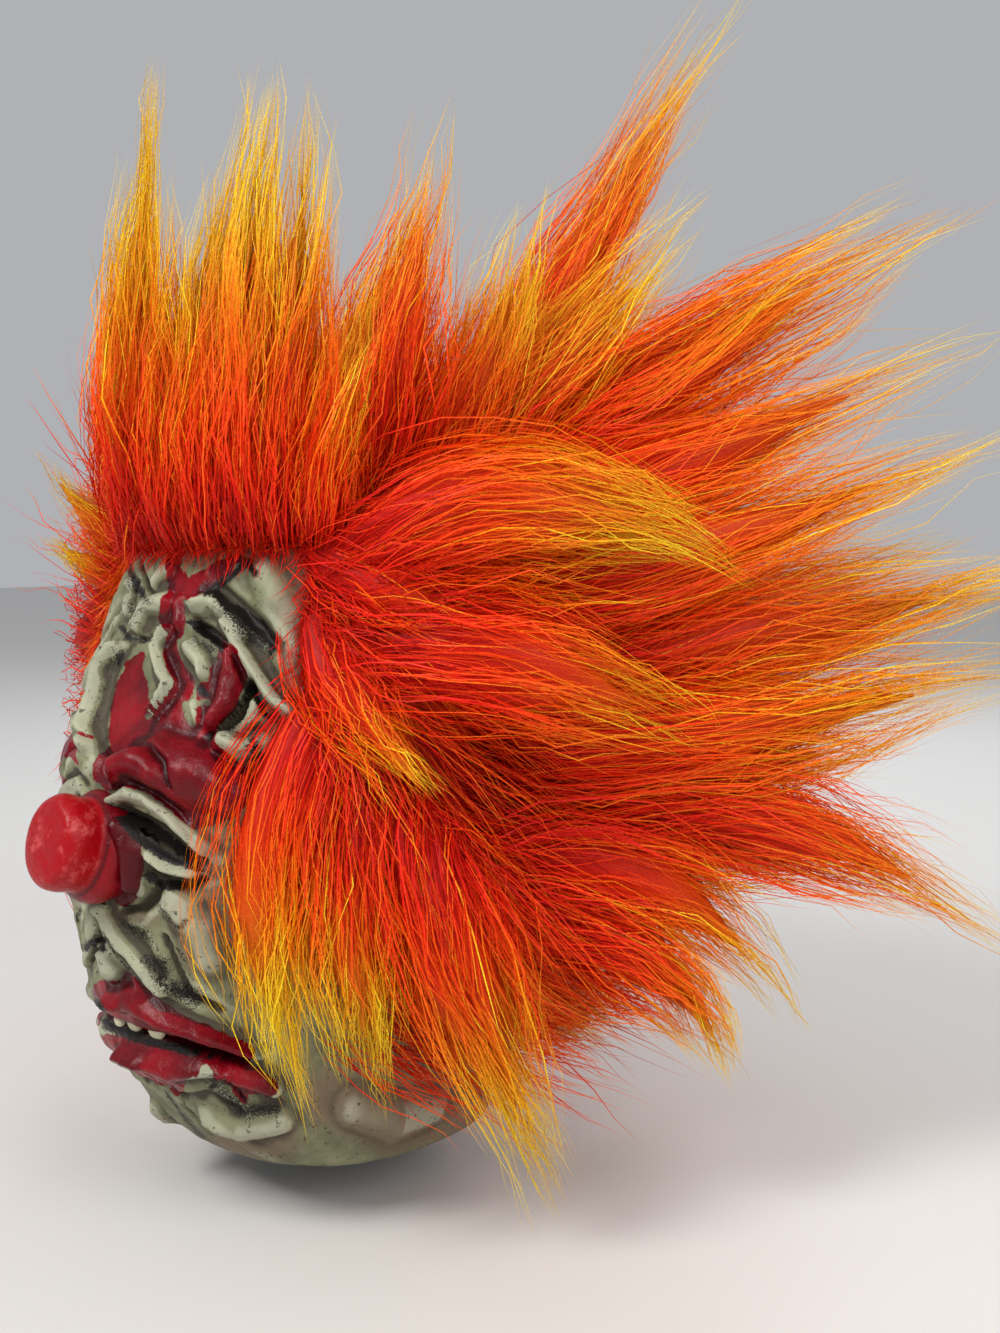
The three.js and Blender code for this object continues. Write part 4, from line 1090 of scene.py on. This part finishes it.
def bridge_strands(locks, count, local):
    """Middle lines of strands that fill the space between neighbouring locks."""
    pairs = [(one, other) for i, one in enumerate(locks) for other in locks[i + 1:]
             if np.linalg.norm(root_of(one) - root_of(other)) < BRIDGED_ROOTS
             and np.linalg.norm(one["tip"] - other["tip"]) < BRIDGED_TIPS]
    lines, hues, outs = [], [], []
    each = count // len(pairs)
    for one, other in pairs:
        share = local.uniform(0.12, 0.88, each)
        shorter = 1.0 - 0.38 * np.sin(math.pi * share)
        finish = shorter * (1 - 0.5 * local.uniform(0, 1, each) ** 1.6)
        start = np.maximum(finish - local.uniform(0.4, 0.7, each), 0)
        t = stations(start, finish)
        first, _, across, through, length = lock_frame(one, t)
        second, _, _, _, other_length = lock_frame(other, t)
        length = (length + other_length) / 2
        w = share[:, None]
        u, v = spots_in_disc(each, local)
        u = (u * one["wide"] * 0.42)[..., None]
        v = (v * one["thick"] * 0.50)[..., None]
        points = first * (1 - w[..., None]) + second * w[..., None] + across * u + through * v
        for way in (across, through):
            wander = waves(t, each, ((1.1, 0.018), (3.6, 0.005)), local)
            points = points + way * (wander * length)[..., None]
        lines.append(points + local.normal(0, 1.2, points.shape))
        hues.append(hue_of(t, one) * (1 - w) + hue_of(t, other) * w)
        outs.append(across * u + through * (v + 0.01))
    return np.concatenate(lines), np.concatenate(hues), np.concatenate(outs)


def backing(name):
    """The cloth of a panel."""
    (side0, side1), (down0, down1) = PANELS[name]
    whole = side1 - side0 >= 360
    grid = (48 if whole else 24, 18)
    sides = np.linspace(side0, side1, grid[0], endpoint=not whole)
    downs = np.linspace(max(down0, 0.003), down1, grid[1])
    side, down = np.meshgrid(sides, downs, indexing="ij")
    if name in ("fur_left", "fur_right"):
        # The corner beside the chin is cut round
        cut = 0.30 * np.clip(1 - (np.abs(side) - EDGE_ANGLE) / 34, 0, 1) ** 1.5
        down = down - cut * (down - down0) / (down1 - down0)
    side, down = side.ravel(), down.ravel()
    points = form_point(side, down) + form_normal(side, down) * FUR_BACKING
    faces = grid_faces(*grid, whole)
    if whole:
        points, faces = capped(points, faces, *grid, WALL + FUR_BACKING)
    return points, faces


def undergrowth(name, count, local):
    """Shorter strands all over the cloth, leaning the way of the locks round them."""
    (side0, side1), (down0, down1) = PANELS[name]
    side = local.uniform(side0, side1, count)
    if down0 == 0:
        down = np.sqrt(local.uniform(0, 1, count)) * down1
    else:
        down = local.uniform(down0, down1, count)
    roots = form_point(side, down)
    normals = form_normal(side, down)
    starts = np.array([root_of(one) for one in LOCKS[name]])
    heads = unit(np.array([one["tip"] for one in LOCKS[name]]) - starts)
    weights = np.exp(-np.linalg.norm(roots[:, None] - starts[None], axis=-1) / 22.0)
    weights /= weights.sum(1, keepdims=True)
    way = unit(weights @ heads, TINY)
    way += local.normal(0, 0.16, way.shape)
    length = local.uniform(30, 75, count)[:, None]
    s = np.linspace(0, 1, STEPS)[None, :, None]
    start = roots + normals * FUR_BACKING
    bend = start + normals * length * 0.22 + way * length * 0.25
    end = start + normals * length * 0.14 + way * length * 0.95
    points = curve(start[:, None], bend[:, None], end[:, None], s)
    for frequency, amount in ((1.2, 0.05), (4.0, 0.015)):
        phase = local.uniform(0, 6.28, (count, 1, 3))
        points = points + amount * length[..., None] * np.sin(6.28 * frequency * s + phase) * s
    points = points + local.normal(0, 0.5, points.shape) * s
    t = np.broadcast_to(np.linspace(0, 0.55, STEPS)[None, :], (count, STEPS))
    return points, t, normals


def fringe(name, count, local):
    """Short strands over the edge of a panel that meets the bare face."""
    (side0, side1), (_, down1) = PANELS[name]
    if name == "fur_front":
        side = local.uniform(side0, side1, count)
        down = down1 - np.abs(local.normal(0, 0.006, count))
        drift = np.zeros(count)
    else:
        edge, inner = (side0, 1) if name == "fur_left" else (side1, -1)
        side = edge + inner * np.abs(local.normal(0, 1.5, count))
        down = local.uniform(0.11, 0.62, count)
        drift = -np.sign(side) * local.uniform(0.2, 1.0, count)
    normals = form_normal(side, down)
    start = form_point(side, down) + normals * FUR_BACKING
    turn = np.radians(side)
    around = np.stack([np.cos(turn), np.sin(turn), np.zeros(count)], 1)
    way = normals * 0.55 + around * drift[:, None] + np.array([0, 0, -0.75])
    way += local.normal(0, 0.35, way.shape)
    length = local.uniform(4, 15, count)[:, None, None]
    s = np.linspace(0, 1, STEPS)[None, :, None]
    points = start[:, None] + way[:, None] * length * s
    points = points - np.array([0, 0, 0.25]) * length * s ** 2
    points = points + local.normal(0, 0.45, points.shape) * s
    return points, np.full((count, STEPS), 0.5 if name == "fur_right" else 0.12), way


def make_fur(name, material, seed):
    local = np.random.default_rng(seed)
    parts = Parts({})
    locks = LOCKS[name]
    fewer, wider = ((1, 1.0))
    total = STRANDS[name] // fewer
    low_share = LOW_SHARE_TOP if name == "fur_top" else LOW_SHARE
    sizes = np.array([one["wide"] * np.linalg.norm(one["tip"]) ** 0.8 for one in locks])
    counts = (sizes / sizes.sum() * total * (1 - low_share - BRIDGE_SHARE)).astype(int)

    def add_strands(lines, outward, thin, thick, hue, shade):
        width = local.uniform(thin, thick, len(lines)) * wider
        if outward.ndim < lines.ndim:
            outward = np.broadcast_to(outward[:, None], lines.shape)
        parts.add(*ribbons(lines, outward, width, hue, shade, local))

    def bright(count):
        return local.uniform(size=(count, 1)) < BRIGHT_SHARE

    for one, count in zip(locks, counts):
        lines, t, outward, radius, tone = lock_strands(one, count, local)
        lit = bright(count)
        # Strands deep in the lock are darker, painted shade; the bright ones are lighter and more
        # golden, painted highlights
        add_strands(lines, outward, 0.32, 0.72, hue_of(t, one) + 0.10 * tone + BRIGHTER * lit,
                    0.60 + 0.4 * radius ** 1.5 + 0.09 * tone + 0.2 * lit)
        parts.add(*lock_core(one, local))

    lines, hue, outward = bridge_strands(locks, int(total * BRIDGE_SHARE), local)
    tone = local.normal(0, 1, (len(lines), 1))
    # Bright bridge strands: painted highlights, more golden
    hue = hue + BRIGHTER * bright(len(lines)) + 0.09 * tone
    add_strands(lines, outward, 0.30, 0.66, hue, 0.78 + 0.12 * tone)

    lines, t, outward = undergrowth(name, int(total * low_share), local)
    tone = local.normal(0, 1, (len(lines), 1))
    # Painted shade: the undergrowth is darker towards its roots
    add_strands(lines, outward, 0.35, 0.75, t + 0.10 * tone, 0.55 + 0.12 * tone + 0.3 * t)

    if name in FRINGE:
        lines, t, outward = fringe(name, FRINGE[name], local)
        tone = local.normal(0, 1, (len(lines), 1))
        add_strands(lines, outward, 0.3, 0.6, t + 0.08 * tone, 0.7 + 0.1 * tone)
    parts.add(*backing(name))
    piece = parts.piece(name + "_strands", material, True)
    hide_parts(name)
    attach(piece, "root")


FUR_COLOURS = [(0.00, (0.56, 0.002, 0.001)), (0.18, (0.86, 0.011, 0.001)),
               (0.40, (1.00, 0.070, 0.001)), (0.62, (1.00, 0.19, 0.002)),
               (0.82, (1.00, 0.42, 0.005)), (1.00, (1.00, 0.74, 0.022))]


def fur_material():
    """Colour runs with the bake map: across it from deep red to gold, up it from shaded to full."""
    look = Look("fake_fur_look")
    split = look.new("SeparateXYZ")
    look.put(split, Vector=look.new("UVMap", uv_map="OFBake").outputs["UV"])
    ramp = look.new("ValToRGB")
    look.put(ramp, Fac=split.outputs["X"])
    stops = ramp.color_ramp.elements
    for place, _ in FUR_COLOURS[1:-1]:
        stops.new(place)
    for stop, (_, colour) in zip(stops, FUR_COLOURS):
        stop.color = (*colour, 1)
    # Painted shade: the colour darkens as the bake map's second value falls
    depth = look.tinted((0.62, 0.36, 0.30), (1.0, 1.0, 1.0), split.outputs["Y"], 0.2, 1.0)
    colour = look.mixed(1.0, ramp.outputs["Color"], depth, "MULTIPLY")
    fleck = look.tinted((0.76, 0.6, 0.6), (1.04, 1.2, 1.2), look.noise(1500, 3, 0.75), 0.36, 0.62)
    colour = look.mixed(1.0, colour, fleck, "MULTIPLY")
    look.put(look.shader, Base_Color=colour, Roughness=0.5, Specular_IOR_Level=0.16,
             Sheen_Weight=0.08, Sheen_Tint=(1.0, 0.35, 0.08))
    return look.material


def make_floor():
    size = 6.0
    z = FLOOR / 1000
    corners = [(-size, -size, z), (size, -size, z), (size, size, z), (-size, size, z)]
    mesh = bpy.data.meshes.new("floor")
    mesh.from_pydata(corners, [], [(0, 1, 2, 3)])
    floor = bpy.data.objects.new("floor", mesh)
    bpy.context.collection.objects.link(floor)
    look = Look("floor_look")
    look.put(look.shader, Base_Color=(0.72, 0.71, 0.69), Roughness=0.8)
    floor.data.materials.append(look.material)


def area_light(name, place, target, size, power, colour):
    data = bpy.data.lights.new(name, "AREA")
    data.shape = "DISK"
    data.size = size
    data.energy = power
    data.color = colour
    light = bpy.data.objects.new(name, data)
    light.location = place
    way = unit(np.array(target) - np.array(place))
    light.rotation_euler = (math.acos(-way[2]), 0, math.atan2(way[1], way[0]) - math.pi / 2)
    bpy.context.collection.objects.link(light)


def make_lights():
    world = bpy.data.worlds.new("world")
    world.use_nodes = True
    sky = world.node_tree.nodes["Background"]
    sky.inputs["Color"].default_value = (0.86, 0.88, 0.92, 1)
    sky.inputs["Strength"].default_value = 0.5
    bpy.context.scene.world = world
    area_light("key", (-0.1, -1.5, 1.3), (0, 0, -0.05), 0.8, 30, (1.0, 0.98, 0.95))
    area_light("side", (1.7, -0.3, 0.9), (0, 0, -0.05), 1.2, 18, (1.0, 0.97, 0.93))
    area_light("back", (-0.8, 1.6, 1.2), (0, 0, 0), 1.0, 14, (0.95, 0.97, 1.0))


make_camera()
make_floor()
make_lights()
bpy.context.scene.view_settings.view_transform = "Standard"
make_skin()
fur = fur_material()
for seed, fur_name in enumerate(LOCKS):
    make_fur(fur_name, fur, seed + 20)
